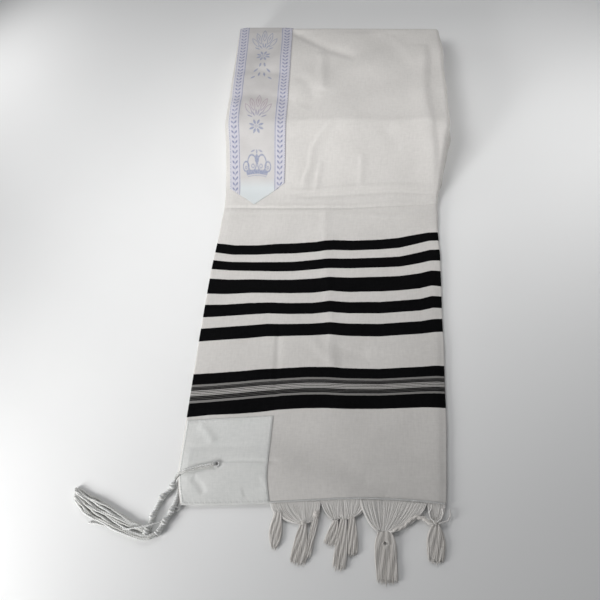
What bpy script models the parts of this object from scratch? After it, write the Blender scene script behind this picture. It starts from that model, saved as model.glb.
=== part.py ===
"""Tallit (prayer shawl), folded once along its length and laid on a table.

The near end lies flat as a two-ply flap, with its corner patch, corner tassels and
hem fringe. The far half of the cloth is folded back and forth beneath, so the upper
ply climbs over a heap of hidden layers to a ridge and runs back to a far fold.

Metres, +Z up. The origin is the centre of the underside, on the table. -Y is the
fringed hem, +X the lengthwise fold, -X the two long edges with the neckband.
"""
import math

import bmesh
import bpy
import numpy as np
from mathutils import Vector

for old in list(bpy.data.objects):
    bpy.data.objects.remove(old, do_unlink=True)

# Driving dimensions
PLY = 0.0014            # thickness of the woven cloth
GAP = 0.0003            # space between pieces that touch in the real shawl
SEWN = 0.00045          # the same under what is sewn on top of the cloth
BAND_PLY = 0.0009       # thickness of the brocade neckband
PATCH_PLY = 0.0009      # thickness of the corner patch
FLAP_FOLD = 0.0020      # outer radius of the lengthwise fold on the flap
HEAP_FOLD = 0.0060      # outer radius of the same fold where it passes over the heap
FLAP_WRAP = 120.0       # degrees that the upper ply turns round the fold on the flap
HEAP_WRAP = 105.0       # and on the heap
HEM_WAVE = 0.0055       # how far the hem bows
EDGE_DROP = 0.0022      # how far the long edge sinks on the heap
EDGE_RUN = 0.010        # and the width over which it does
HEAP_FROM = 0.006       # height at which the heap's layers begin to part
HEAP_FULL = 0.018       # and where they stand apart in full
INSET_LEFT = 0.0010     # how far the lower ply stands back at the long edges
INSET_HEM = 0.0008      # and at the hem
EYELET = (-0.1045, -0.3330)
EYELET_RADIUS = 0.0019

# The upper ply, station by station from the hem to the far fold.
# mid: Y at the middle of the width; skew: how far Y rises from left to right edge;
# left, right: X of the two edges; top: height of the upper face.
STATIONS = np.array([
    # mid      skew     left     right    top
    (-0.3740,  0.008, -0.1430,  0.1490,  0.0042),
    (-0.3400,  0.000, -0.1510,  0.1505,  0.0042),
    (-0.2700,  0.000, -0.1520,  0.1525,  0.0042),
    (-0.1700,  0.000, -0.1525,  0.1530,  0.0042),
    (-0.0700,  0.000, -0.1515,  0.1525,  0.0044),
    (-0.0250, -0.004, -0.1490,  0.1505,  0.0046),
    (0.0070,  -0.018, -0.1470,  0.1500,  0.0056),
    (0.0225,  -0.020, -0.1460,  0.1495,  0.0054),
    (0.0380,  -0.024, -0.1460,  0.1510,  0.0084),
    (0.0540,  -0.028, -0.1467,  0.1550,  0.0125),
    (0.0850,  -0.034, -0.1475,  0.1610,  0.0240),
    (0.1200,  -0.038, -0.1495,  0.1675,  0.0360),
    (0.1530,  -0.042, -0.1520,  0.1725,  0.0435),
    (0.1900,  -0.048, -0.1525,  0.1720,  0.0430),
    (0.2500,  -0.055, -0.1545,  0.1700,  0.0405),
    (0.3100,  -0.060, -0.1565,  0.1680,  0.0380),
    (0.3565,  -0.063, -0.1585,  0.1640,  0.0355),
])
# Rows of the mesh: the stations, and rows between them on the bends of the heap.
ROWS = np.array(sorted(list(STATIONS[:, 0]) + [0.0690, 0.1025, 0.1370, 0.1700, 0.2200]))
COLUMNS = np.array([0, .02, .05, .11, .18, .25, .32, .39, .46, .53, .60, .67, .74, .81,
                    .88, .94, .98, 1.0])
LIP = np.array([.34, .67, 1.0])     # steps of the mesh round a fold
HEM, FAR = STATIONS[0, 0], STATIONS[-1, 0]

# The folded layers inside the heap, from the top one down: how far each edge stands
# back from the upper ply's, on the right fold, the far fold and the left long edges.
LAYERS = [
    # right    far      left
    (0.0010,  0.0020,  0.0020),
    (0.0030,  0.0000, -0.0005),
    (0.0005,  0.0040,  0.0030),
    (0.0022,  0.0010,  0.0005),
    (0.0000,  0.0030,  0.0025),
]
GROOVE = 0.0022         # depth of the furrow between two layers

# The neckband, as shares of the cloth's width at its pointed end and at the far fold.
BAND_START = (0.023, 0.300)
BAND_END = (0.003, 0.292)
BAND_LEFT, BAND_RIGHT = 0.053, 0.060    # rows where its two sides end
BAND_TIP = 0.030                        # row of its point, which faces the hem

PATCH_ACROSS = (0.004, 0.354)   # the corner patch, as shares of the cloth's width
PATCH_TOP = -0.2715             # its upper edge

# The hem's knotted warp ends. knot: X, Y of the knot; fan: X range on the hem that its
# ends come from; ups: how many; tail: X, Y where the loose tail ends; spread: the
# tail's half width there; downs: how many ends hang in it.
FRINGE = [
    # name                knot x    knot y    fan from  fan to   ups  tail x    tail y  spread downs
    ("fringe_tassel_1", -0.0292, -0.3860, -0.0345, -0.0285, 3, -0.0330, -0.4190, 0.0042, 5),
    ("fringe_tassel_2", -0.0010, -0.3930, -0.0250,  0.0060, 9, -0.0060, -0.4345, 0.0050, 8),
    ("fringe_tassel_3",  0.0125, -0.3842,  0.0078,  0.0150, 3,  0.0040, -0.4270, 0.0036, 5),
    ("fringe_tassel_4",  0.0300, -0.3880,  0.0175,  0.0290, 5,  0.0262, -0.4150, 0.0052, 6),
    ("fringe_tassel_5",  0.0405, -0.3900,  0.0310,  0.0470, 5,  0.0405, -0.4390, 0.0056, 8),
    ("fringe_tassel_6",  0.0525, -0.3850,  0.0485,  0.0620, 5,  0.0548, -0.4240, 0.0044, 6),
    ("fringe_tassel_7",  0.0845, -0.3980,  0.0640,  0.1290, 14, 0.0880, -0.4475, 0.0100, 12),
    ("fringe_tassel_8",  0.1345, -0.3890,  0.1310,  0.1500, 6,  0.1352, -0.4262, 0.0082, 10),
]
KNOT = (0.0040, 0.0036, 0.0030)   # half sizes of a fringe knot
LOCK = 0.0009                     # half thickness of a lock of ends
LOCK_LEVELS = (0.0014, 0.0031)    # heights of the two layers of locks in a tail
FAN_FLAT, TAIL_FLAT = 1.9, 1.15   # how many times wider than thick the locks lie

# The corner tassels. Path columns: X, Y, Z, radius of the wound cord.
CORD_UPPER = [
    (-0.1045, -0.3330, 0.0064, 0.0010), (-0.1075, -0.3340, 0.0072, 0.0014),
    (-0.1230, -0.3370, 0.0073, 0.0014), (-0.1400, -0.3413, 0.0073, 0.0014),
    (-0.1492, -0.3440, 0.0073, 0.0014), (-0.1528, -0.3485, 0.0052, 0.0014),
    (-0.1543, -0.3535, 0.0040, 0.0018), (-0.1554, -0.3565, 0.0036, 0.0032),
    (-0.1570, -0.3592, 0.0036, 0.0032), (-0.1590, -0.3620, 0.0030, 0.0020),
    (-0.1625, -0.3664, 0.0030, 0.0020), (-0.1646, -0.3690, 0.0036, 0.0031),
    (-0.1664, -0.3716, 0.0036, 0.0031), (-0.1685, -0.3756, 0.0030, 0.0021),
    (-0.1718, -0.3840, 0.0030, 0.0021), (-0.1732, -0.3885, 0.0036, 0.0032),
    (-0.1737, -0.3917, 0.0036, 0.0032), (-0.1741, -0.3950, 0.0031, 0.0022),
    (-0.1755, -0.3990, 0.0032, 0.0024),
]
CORD_LOWER = [
    (-0.1487, -0.3610, 0.0022, 0.0014), (-0.1485, -0.3690, 0.0026, 0.0018),
    (-0.1488, -0.3750, 0.0030, 0.0022), (-0.1500, -0.3795, 0.0036, 0.0033),
    (-0.1516, -0.3825, 0.0036, 0.0033), (-0.1533, -0.3862, 0.0030, 0.0022),
    (-0.1552, -0.3900, 0.0030, 0.0022), (-0.1563, -0.3927, 0.0036, 0.0033),
    (-0.1578, -0.3957, 0.0036, 0.0033), (-0.1598, -0.3992, 0.0032, 0.0026),
    (-0.1625, -0.4040, 0.0032, 0.0028),
]
CORD_KNOT = (0.0046, 0.0046, 0.0034)    # half sizes of the last knot, before the strings
CORD_KNOT_Z = 0.0040
STRING = 0.0010                         # half thickness of a loose string
STRING_LEVELS = (0.0016, 0.0034)        # heights of their two layers
# Loose strings: where they start to lie side by side, the middle of their run, and
# their ends at the left. Half widths give how far they spread there.
STRINGS_UPPER = dict(near=(-0.1875, -0.4012), mid=(-0.2177, -0.3890), end=(-0.2765, -0.3645),
                     spread=(0.0036, 0.0050, 0.0045), count=8)
STRINGS_LOWER = dict(near=(-0.1812, -0.4186), mid=(-0.2150, -0.4062), end=(-0.2730, -0.3778),
                     spread=(0.0036, 0.0050, 0.0045), count=8)


def station(column, y):
    """One column of STATIONS at row y, on a smooth curve through the table."""
    ys, vs = STATIONS[:, 0], STATIONS[:, column]
    step = np.diff(vs) / np.diff(ys)
    slope = np.concatenate([[step[0]], np.zeros(len(step) - 1), [step[-1]]])
    for k in range(1, len(step)):
        a, b = step[k - 1], step[k]
        slope[k] = 2 * a * b / (a + b) if a * b > 0 else 0.0
    y = np.clip(y, ys[0], ys[-1])
    i = np.clip(np.searchsorted(ys, y) - 1, 0, len(step) - 1)
    h = ys[i + 1] - ys[i]
    t = (y - ys[i]) / h
    return ((2 * t**3 - 3 * t**2 + 1) * vs[i] + (t**3 - 2 * t**2 + t) * h * slope[i]
            + (-2 * t**3 + 3 * t**2) * vs[i + 1] + (t**3 - t**2) * h * slope[i + 1])


def heaped(y):
    """0 on the flat flap, 1 where the heap is high enough to show its layers."""
    t = np.clip((station(4, y) - HEAP_FROM) / (HEAP_FULL - HEAP_FROM), 0, 1)
    return t * t * (3 - 2 * t)


def fold_radius(y):
    return FLAP_FOLD + (HEAP_FOLD - FLAP_FOLD) * heaped(y)


def fold_wrap(y):
    return np.radians(FLAP_WRAP + (HEAP_WRAP - FLAP_WRAP) * heaped(y))


def top(u, y):
    """Upper face of the upper ply. u: 0 at the long edge, 1 where the fold starts."""
    left, right = station(2, y), station(3, y) - fold_radius(y)
    x = left + (right - left) * u
    hem = HEM_WAVE * np.sin(np.pi * u * u) * np.exp(-(y - HEM) / 0.03)
    edge = EDGE_DROP * heaped(y) * np.exp(-((x - left) / EDGE_RUN) ** 2)
    return np.stack([x, y + station(1, y) * (u - 0.5) + hem, station(4, y) - edge], -1)


def unit(v):
    return v / np.linalg.norm(v, axis=-1, keepdims=True)


def surface(p, q, out):
    """The upper ply's form, moved out by `out` along its own normal.

    p runs across: 0 to 1 over the top, 1 to 2 round the lengthwise fold.
    q is the row: up to FAR over the top, FAR to FAR + 1 round the far fold.
    """
    p, q = np.broadcast_arrays(np.asarray(p, float), np.asarray(q, float))
    u, y = np.minimum(p, 1.0), np.minimum(q, FAR)
    e = 0.0005
    base = top(u, y)
    across = unit(top(np.minimum(u + e, 1), y) - top(np.minimum(u + e, 1) - e, y))
    along = unit(top(u, np.minimum(y + e, FAR)) - top(u, np.minimum(y + e, FAR) - e))
    normal = unit(np.cross(across, along))
    right, far = np.cross(along, normal), np.cross(normal, across)
    a, b = np.maximum(p - 1, 0), np.maximum(q - FAR, 0)
    big = np.maximum(a, b)
    phi = np.where(a >= b, np.pi / 4 * b / np.maximum(a, 1e-9),
                   np.pi / 2 - np.pi / 4 * a / np.maximum(b, 1e-9))
    theta = (big * fold_wrap(y))[..., None]
    r = fold_radius(y)[..., None]
    away = unit(np.cos(phi)[..., None] * right + np.sin(phi)[..., None] * far)
    return (base + normal * ((r + out) * np.cos(theta) - r) + away * (r + out) * np.sin(theta))


def material(name, colour, roughness):
    mat = bpy.data.materials.new(name)
    mat.use_nodes = True
    bsdf = mat.node_tree.nodes["Principled BSDF"]
    bsdf.inputs["Base Color"].default_value = (*colour, 1.0)
    bsdf.inputs["Roughness"].default_value = roughness
    bsdf.inputs["Metallic"].default_value = 0.0
    return mat


WOOL = material("woven off-white cloth", (0.78, 0.76, 0.73), 0.85)
LAYER_WOOL = material("woven off-white cloth, inner layers", (0.72, 0.70, 0.67), 0.88)
BROCADE = material("silvery white brocade", (0.76, 0.76, 0.82), 0.45)
SATIN = material("white satin patch", (0.80, 0.80, 0.79), 0.55)
THREAD = material("undyed thread", (0.74, 0.73, 0.70), 0.80)


def add_object(name, verts, faces, mat):
    mesh = bpy.data.meshes.new(name)
    mesh.from_pydata([tuple(map(float, v)) for v in verts], [], faces)
    mesh.materials.append(mat)
    mesh.validate()
    obj = bpy.data.objects.new(name, mesh)
    bpy.context.scene.collection.objects.link(obj)
    mesh.shade_smooth()
    mesh.set_sharp_from_angle(angle=math.radians(40))
    return obj


def laid(p, q, out):
    """A place on the upper ply's own facets, moved out: what is sewn on follows them."""
    across = np.concatenate([COLUMNS, 1 + LIP])
    rows = np.concatenate([ROWS, FAR + LIP])
    net = surface(*np.meshgrid(across, rows), out)
    i = np.clip(np.searchsorted(across, p, "right") - 1, 0, len(across) - 2)
    j = np.clip(np.searchsorted(rows, q, "right") - 1, 0, len(rows) - 2)
    s = ((p - across[i]) / (across[i + 1] - across[i]))[..., None]
    t = ((q - rows[j]) / (rows[j + 1] - rows[j]))[..., None]
    return ((net[j, i] * (1 - s) + net[j, i + 1] * s) * (1 - t)
            + (net[j + 1, i] * (1 - s) + net[j + 1, i + 1] * s) * t)


def wall(name, form, p, q, low, high, mat):
    """A sheet between two offsets of a form, closed round its rim."""
    rows, cols = p.shape
    verts = np.concatenate([form(p, q, high).reshape(-1, 3), form(p, q, low).reshape(-1, 3)])
    n, faces = rows * cols, []
    for j in range(rows - 1):
        for i in range(cols - 1):
            a = j * cols + i
            faces.append((a, a + 1, a + cols + 1, a + cols))
            faces.append((n + a, n + a + cols, n + a + cols + 1, n + a + 1))
    rim = rim_of(rows, cols)
    for a, b in zip(rim, rim[1:] + rim[:1]):
        faces.append((b, a, n + a, n + b))
    return add_object(name, verts, faces, mat)


def rim_of(rows, cols):
    """Point numbers round a grid, seen from above: anticlockwise."""
    return ([i for i in range(cols)]
            + [j * cols + cols - 1 for j in range(1, rows)]
            + [(rows - 1) * cols + i for i in range(cols - 2, -1, -1)]
            + [j * cols for j in range(rows - 2, 0, -1)])


def punch(obj, centre, radius):
    """Cuts the eyelet's hole straight down through a sheet."""
    bm = bmesh.new()
    bmesh.ops.create_cone(bm, cap_ends=True, segments=12, radius1=radius, radius2=radius, depth=0.02)
    mesh = bpy.data.meshes.new(obj.name + "_cutter")
    bm.to_mesh(mesh)
    bm.free()
    cutter = bpy.data.objects.new(obj.name + "_cutter", mesh)
    bpy.context.scene.collection.objects.link(cutter)
    cutter.location = (*centre, 0.004)
    cutter.hide_render = True
    cutter.display_type = "WIRE"
    cut = obj.modifiers.new("eyelet hole", "BOOLEAN")
    cut.operation = "DIFFERENCE"
    cut.object = cutter
    cut.solver = "EXACT"


# Cloth, upper ply: flat on the flap, over the ridge, round the right and the far folds
P, Q = np.meshgrid(np.concatenate([COLUMNS, 1 + LIP]), np.concatenate([ROWS, FAR + LIP]))
upper_ply = wall("cloth_top_ply", surface, P, Q, -PLY, 0.0, WOOL)
punch(upper_ply, EYELET, EYELET_RADIUS)


def heap():
    """The flap's lower ply and the folded far half, as one solid with layered edges."""
    drop = -(PLY + GAP)
    grid_p, grid_q = np.meshgrid(COLUMNS, ROWS)
    rows, cols = grid_p.shape
    cap = surface(grid_p, grid_q, drop)
    cap[:, 0, 0] += INSET_LEFT
    cap[0, :, 1] += INSET_HEM
    verts = [tuple(v) for v in cap.reshape(-1, 3)]
    faces = [(j * cols + i, j * cols + i + 1, (j + 1) * cols + i + 1, (j + 1) * cols + i)
             for j in range(rows - 1) for i in range(cols - 1)]
    rim = rim_of(rows, cols)
    flat_p, flat_q = grid_p.ravel(), grid_q.ravel()
    levels = []
    for k in rim:
        u, y = flat_p[k], flat_q[k]
        at_right, at_far, at_hem = u == 1, y == FAR, y == HEM
        b = float(heaped(y))
        base = Vector(verts[k])
        inset = base - Vector(surface(u, y, drop))
        if (at_right or at_far) and not at_hem:
            wrap = float(fold_wrap(y))
            r = float(fold_radius(y))

            def turned(angle, out):
                part = math.radians(angle) / wrap
                return Vector(surface(u + part * at_right, y + part * at_far, out)) + inset
            ring = [turned(45, drop), turned(90, drop)]
            axis = turned(0, -r)
            way = ((ring[1] - axis) * Vector((1, 1, 0))).normalized()
            under = max(turned(math.degrees(wrap), 0.0).z - 0.0005, 0.3 * base.z)
            ring.append(axis * Vector((1, 1, 0)) + way * (r - PLY - GAP) * 0.9 * b + Vector((0, 0, under)))
        else:
            way = Vector((-float(u == 0), -float(at_hem), 0)).normalized()
            axis = base
            under = base.z * (1 - 1 / (len(LAYERS) + 1))
            ring = [base.lerp(Vector((base.x, base.y, under)), t) for t in (0.25, 0.75)]
            ring.append(Vector((base.x, base.y, under)) - way * GROOVE * 0.6 * b)
        step = under / len(LAYERS)
        for n, (right, far, left) in enumerate(LAYERS):
            if at_hem:
                reach = 0.0
            elif at_right:
                reach = r - right
            elif at_far:
                reach = r - far
            else:
                reach = -left
            last = n == len(LAYERS) - 1
            for out, z in ((reach, under - step * (n + 0.5)),
                           (reach - GROOVE * (0.5 if last else 1.0), under - step * (n + 1))):
                place = axis + way * out * b
                ring.append(Vector((place.x, place.y, max(z, 0.0))))
        levels.append(ring)
    first, depth = len(verts), len(levels[0])
    for ring in levels:
        verts.extend(ring)
    count = len(rim)
    for a in range(count):
        b = (a + 1) % count
        chain_a = [rim[a]] + [first + a * depth + d for d in range(depth)]
        chain_b = [rim[b]] + [first + b * depth + d for d in range(depth)]
        for d in range(depth):
            faces.append((chain_b[d], chain_a[d], chain_a[d + 1], chain_b[d + 1]))
    faces.append(tuple(first + a * depth + depth - 1 for a in reversed(range(count))))
    return add_object("cloth_hidden_layers", verts, faces, LAYER_WOOL)


heap()

# Neckband: brocade, sewn along the long edge, pointed at its near end
share = np.array([0, .14, .30, .47, .65, .84, 1.0])
rest = np.concatenate([ROWS[ROWS >= 0.085], FAR + LIP])
near = np.interp(share, [0, .47, 1], [BAND_LEFT, BAND_TIP, BAND_RIGHT])
band_q = np.array([near + (rest[0] - near) * t for t in (0, .25, .5, .75)]
                  + [np.full(len(share), q) for q in rest])
reach = np.clip((band_q - BAND_LEFT) / (FAR - BAND_LEFT), 0, 1)
band_p = ((BAND_START[0] + (BAND_END[0] - BAND_START[0]) * reach) * (1 - share)
          + (BAND_START[1] + (BAND_END[1] - BAND_START[1]) * reach) * share)
wall("neckband", laid, band_p, band_q, SEWN, SEWN + BAND_PLY, BROCADE)

# Corner patch: a square of satin with the eyelet through it
patch_p, patch_q = np.meshgrid(np.linspace(*PATCH_ACROSS, 7),
                               np.concatenate([[HEM + 0.0010], np.linspace(-0.356, PATCH_TOP, 6)]))
patch = wall("corner_patch", laid, patch_p, patch_q, SEWN, SEWN + PATCH_PLY, SATIN)
punch(patch, EYELET, EYELET_RADIUS)


def ball(centre, radii):
    """A knot: an icosphere of 80 faces, as points and faces."""
    bm = bmesh.new()
    bmesh.ops.create_icosphere(bm, subdivisions=2, radius=1.0)
    verts = [Vector((v.co.x * radii[0], v.co.y * radii[1], v.co.z * radii[2])) + Vector(centre)
             for v in bm.verts]
    faces = [tuple(v.index for v in f.verts) for f in bm.faces]
    bm.free()
    return verts, faces


def grow(verts, faces, centre, strands):
    """Draws one face of the knot out along each path, as a three-sided lock of thread.

    strands: (direction that it leaves in, points after the knot, half thickness, how
    many times wider than thick it lies).
    """
    free = set(range(len(faces)))
    rooted = set()
    extra = []
    for way, path, thick, wide in strands:
        def fit(k):
            middle = sum((verts[i] for i in faces[k]), Vector()) / 3
            return (middle - centre).normalized().dot(way.normalized())
        root = max(free, key=fit)
        free.discard(root)
        rooted.add(root)
        ids = faces[root]
        middle = sum((verts[i] for i in ids), Vector()) / 3
        normal = (verts[ids[1]] - verts[ids[0]]).cross(verts[ids[2]] - verts[ids[0]]).normalized()
        spokes = [(verts[i] - middle).normalized() for i in ids]
        line = [middle] + [Vector(p) for p in path]
        last = tuple(ids)
        heading = normal
        for n, point in enumerate(line):
            ahead = line[min(n + 1, len(line) - 1)] - line[max(n - 1, 0)] if n else normal
            turn = heading.rotation_difference(ahead.normalized())
            spokes = [turn @ s for s in spokes]
            heading = ahead.normalized()
            size = thick * (0.75 if n == 0 else 1.0 if n < len(line) - 1 else 0.6)
            start = len(verts)
            at = point + normal * 0.0001 if n == 0 else point
            level = Vector((heading.y, -heading.x, 0)).normalized()
            extra_width = (wide - 1) * min(1.0, max(0, n - 1) / 2)
            verts.extend(at + (s + level * s.dot(level) * extra_width) * size for s in spokes)
            ring = (start, start + 1, start + 2)
            for a in range(3):
                b = (a + 1) % 3
                extra.append((last[a], last[b], ring[b], ring[a]))
            last = ring
        extra.append(last)
    return verts, [f for k, f in enumerate(faces) if k not in rooted] + extra


def bend(a, b, c, n):
    """n points after a on the smooth curve from a by b to c."""
    return [a * (1 - t)**2 + b * 2 * t * (1 - t) + c * t**2 for t in (np.arange(1, n + 1) / n)]


# Hem fringe: each group of warp ends runs from the hem to a knot and hangs on as a tail
def hem_at(x):
    u = (x - station(2, HEM)) / (station(3, HEM) - fold_radius(HEM) - station(2, HEM))
    return float(top(np.array(min(max(u, 0), 1)), np.array(HEM))[1])


for name, kx, ky, fan_a, fan_b, ups, tx, ty, spread, downs in FRINGE:
    knot = Vector((kx, ky, KNOT[2] + 0.0006))
    verts, faces = ball(knot, KNOT)
    strands = []
    for k in range(ups):
        s = k / (ups - 1) if ups > 1 else 0.5
        x = fan_a + (fan_b - fan_a) * s
        end = Vector((x, hem_at(x) - GAP - 0.0004, 0.0030))
        way = (end - knot) * Vector((1, 1, 0))
        start = knot + way.normalized() * KNOT[0]
        mid = start.lerp(end, 0.5) + Vector((0, 0, 0.0004))
        strands.append((way + Vector((0, 0, 0.0003 * (k % 2))), bend(start, mid, end, 3), LOCK, FAN_FLAT))
    tail = Vector((tx, ty, 0)) - Vector((kx, ky, 0))
    side = Vector((tail.y, -tail.x, 0)).normalized() * -1
    for k in range(downs):
        s = 2 * k / (downs - 1) - 1
        high = k % 2
        z = LOCK_LEVELS[high]
        wobble = 0.0014 * math.sin(2.4 * k + 10 * kx)
        end = Vector((tx, ty, z)) + side * s * spread + tail.normalized() * wobble
        way = tail.normalized() + side * s * 0.75 + Vector((0, 0, 0.28 if high else -0.22))
        start = Vector((kx, ky, z)) + (tail.normalized() + side * s * 0.9).normalized() * 0.0048
        mid = start.lerp(end, 0.5) + side * s * spread * 0.25
        strands.append((way, [start] + bend(start, mid, end, 3), LOCK, TAIL_FLAT))
    verts, faces = grow(verts, faces, knot, strands)
    add_object(name, verts, faces, THREAD)


# Corner tassels: a cord wound and knotted along its length, then eight loose strings
def cord(path, sides=8):
    pts = [Vector(p[:3]) for p in path]
    verts, faces = [], []
    for n, point in enumerate(pts):
        ahead = (pts[min(n + 1, len(pts) - 1)] - pts[max(n - 1, 0)]).normalized()
        right = ahead.cross(Vector((0, 0, 1))).normalized()
        up = right.cross(ahead)
        for k in range(sides):
            a = 2 * math.pi * k / sides
            verts.append(point + (right * math.cos(a) + up * math.sin(a)) * path[n][3])
    for n in range(len(pts) - 1):
        for k in range(sides):
            a, b = n * sides + k, n * sides + (k + 1) % sides
            faces.append((a, b, b + sides, a + sides))
    faces.append(tuple(reversed(range(sides))))
    faces.append(tuple((len(pts) - 1) * sides + k for k in range(sides)))
    return verts, faces


def corner_tassel(name, path, strings):
    wound = add_object(name, *cord(path), THREAD)
    end = Vector(path[-1][:3])
    knot = end + (end - Vector(path[-2][:3])).normalized() * 0.0030
    knot.z = CORD_KNOT_Z
    verts, faces = ball(knot, CORD_KNOT)
    near, mid, far = (Vector((*strings[k], 0)) for k in ("near", "mid", "end"))
    side = Vector((far.y - near.y, near.x - far.x, 0)).normalized()
    strands = []
    for k in range(strings["count"]):
        s = 2 * k / (strings["count"] - 1) - 1
        high = k % 2
        z = Vector((0, 0, STRING_LEVELS[high]))
        a, b, c = strings["spread"]
        p1, p2 = near + side * s * a + z, mid + side * s * b + z
        p3 = far + side * s * c + z + Vector((0.0020 * math.sin(3.1 * k), 0, 0))
        way = (p1 - knot).normalized() + side * s * 0.5 + Vector((0, 0, 0.25 if high else -0.25))
        strands.append((way, [p1] + bend(p1, p2, p3, 4), STRING, 1.0))
    verts, faces = grow(verts, faces, knot, strands)
    loose = add_object(name + "_strings", verts, faces, THREAD)
    loose.hide_render = True
    loose.display_type = "WIRE"
    join = wound.modifiers.new("strings", "BOOLEAN")
    join.operation = "UNION"
    join.object = loose
    join.solver = "EXACT"


corner_tassel("corner_tassel_upper", CORD_UPPER, STRINGS_UPPER)
corner_tassel("corner_tassel_lower", CORD_LOWER, STRINGS_LOWER)
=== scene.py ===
"""The looks of a tallit (prayer shawl): striped cloth, brocade neckband, satin corner, threads.

Metres, +Z up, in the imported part's frame: the origin is the centre of the underside on
the table, -Y the fringed hem, +X the lengthwise fold, -X the two long edges.
"""

import bpy
import numpy as np
from mathutils import Matrix


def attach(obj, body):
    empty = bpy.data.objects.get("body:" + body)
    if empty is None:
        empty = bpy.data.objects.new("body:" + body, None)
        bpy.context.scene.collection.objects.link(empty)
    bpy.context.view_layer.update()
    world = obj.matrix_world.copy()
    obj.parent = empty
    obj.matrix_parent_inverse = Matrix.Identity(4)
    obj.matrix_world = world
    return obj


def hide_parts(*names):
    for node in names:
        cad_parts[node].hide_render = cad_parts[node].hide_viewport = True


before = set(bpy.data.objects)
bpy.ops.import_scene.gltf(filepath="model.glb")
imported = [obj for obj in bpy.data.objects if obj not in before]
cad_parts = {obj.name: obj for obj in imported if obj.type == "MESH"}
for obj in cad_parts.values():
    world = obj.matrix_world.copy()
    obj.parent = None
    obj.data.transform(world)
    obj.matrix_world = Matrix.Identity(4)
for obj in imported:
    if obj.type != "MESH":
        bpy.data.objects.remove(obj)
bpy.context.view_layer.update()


# Table and studio
# A smooth pale table top. The main light is a soft panel low at the near left, as from a
# window, with weaker ones over the far half; each has its own side, height and distance.
CAMERA_AT = (0.1505, -0.528, 0.704)
CAMERA_TURN, CAMERA_DOWN, CAMERA_TILT = 23.2, 57.6, -22.2     # degrees
LENS, SENSOR = 39.0, 36.0                                     # millimetres
NEAREST, FARTHEST = 0.01, 20.0                                # that the camera sees
TABLE_HALF, TABLE_LEVEL = 4.0, -0.0004
TABLE_WHITE, TABLE_WORN = "#f6f6f5", "#f1f1f0"
MIDDLE, FAR_HALF = (0.0, 0.05, 0.02), (0.0, 0.15, 0.03)
PANELS = [
    # name                faces     side  height  away   size  beam  watts
    ("near left panel",   MIDDLE,    -43.2,  14.3,  1.132, 0.30, 180,  5.1),
    ("overhead panel",    MIDDLE,   -123.7,  69.4,  0.513, 0.30, 180,  1.25),
    ("far left panel",    MIDDLE,   -118.1,  18.2,  0.895, 0.30, 180,  1.1),
    ("far right panel",   MIDDLE,    102.5,  31.3,  0.539, 0.30, 180,  0.65),
    ("slope panel",       FAR_HALF,  -40.0,  14.0,  1.100, 0.35,  60,  0.45),
]
ROOM_TINT, ROOM_LIGHT = "#f4f6fa", 0.20


def linear(code):
    """Linear red, green and blue of an sRGB hex colour."""
    value = np.array([int(code[k:k + 2], 16) for k in (1, 3, 5)]) / 255
    return tuple(np.where(value <= 0.04045, value / 12.92, ((value + 0.055) / 1.055) ** 2.4))


def add(mat, kind, inputs=None, **settings):
    """Adds one node. inputs gives a socket, by name or number, its value or its source."""
    made = mat.node_tree.nodes.new("ShaderNode" + kind)
    for key, value in settings.items():
        setattr(made, key, value)
    for key, value in (inputs or {}).items():
        if isinstance(value, bpy.types.NodeSocket):
            mat.node_tree.links.new(value, made.inputs[key])
        else:
            made.inputs[key].default_value = value
    return made


def start_material(name, roughness, **sockets):
    """A material with its Principled shader, whose uniform values go on its own sockets."""
    mat = bpy.data.materials.new(name)
    mat.use_nodes = True
    shader = mat.node_tree.nodes["Principled BSDF"]
    shader.inputs["Roughness"].default_value = roughness
    for key, value in sockets.items():
        shader.inputs[key.replace("_", " ")].default_value = value
    return mat, shader


def piece(name, points, faces, mat, uv=None, values=None):
    """A mesh at the origin from points (n, 3) and a list of arrays of faces."""
    mesh = bpy.data.meshes.new(name)
    mesh.from_pydata(np.asarray(points).tolist(), [], [f for part in faces for f in part.tolist()])
    if uv is not None:
        corner = np.empty(len(mesh.loops), np.int32)
        mesh.loops.foreach_get("vertex_index", corner)
        mesh.uv_layers.new(name="cut").data.foreach_set("uv", uv[corner].ravel())
    for key, value in (values or {}).items():
        mesh.attributes.new(key, "FLOAT", "POINT").data.foreach_set("value", value.ravel())
    mesh.materials.append(mat)
    mesh.shade_smooth()
    made = bpy.data.objects.new(name, mesh)
    bpy.context.scene.collection.objects.link(made)
    return made


def standing(axes, at):
    """The matrix of an object whose own X, Y and Z run along three given directions."""
    return Matrix([*np.column_stack([np.stack(axes, 1), at]).tolist(), (0, 0, 0, 1)])


# Satin laminate has a wide soft gloss, and clouds about 25 mm across that hardly show.
table_mat, shader = start_material("pale satin laminate table top", 0.55)
noise = add(table_mat, "TexNoise", {"Scale": 1 / 0.025, "Detail": 2.0})
tone = add(table_mat, "ValToRGB", {"Fac": noise.outputs["Fac"]})
tone.color_ramp.elements[0].color = (*linear(TABLE_WORN), 1)
tone.color_ramp.elements[1].color = (*linear(TABLE_WHITE), 1)
table_mat.node_tree.links.new(tone.outputs["Color"], shader.inputs["Base Color"])
corners = TABLE_HALF * np.array([(-1, -1), (1, -1), (1, 1), (-1, 1)])
table = piece("table", np.column_stack([corners, np.full(4, TABLE_LEVEL)]), [np.array([[0, 1, 2, 3]])],
              table_mat)

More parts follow.
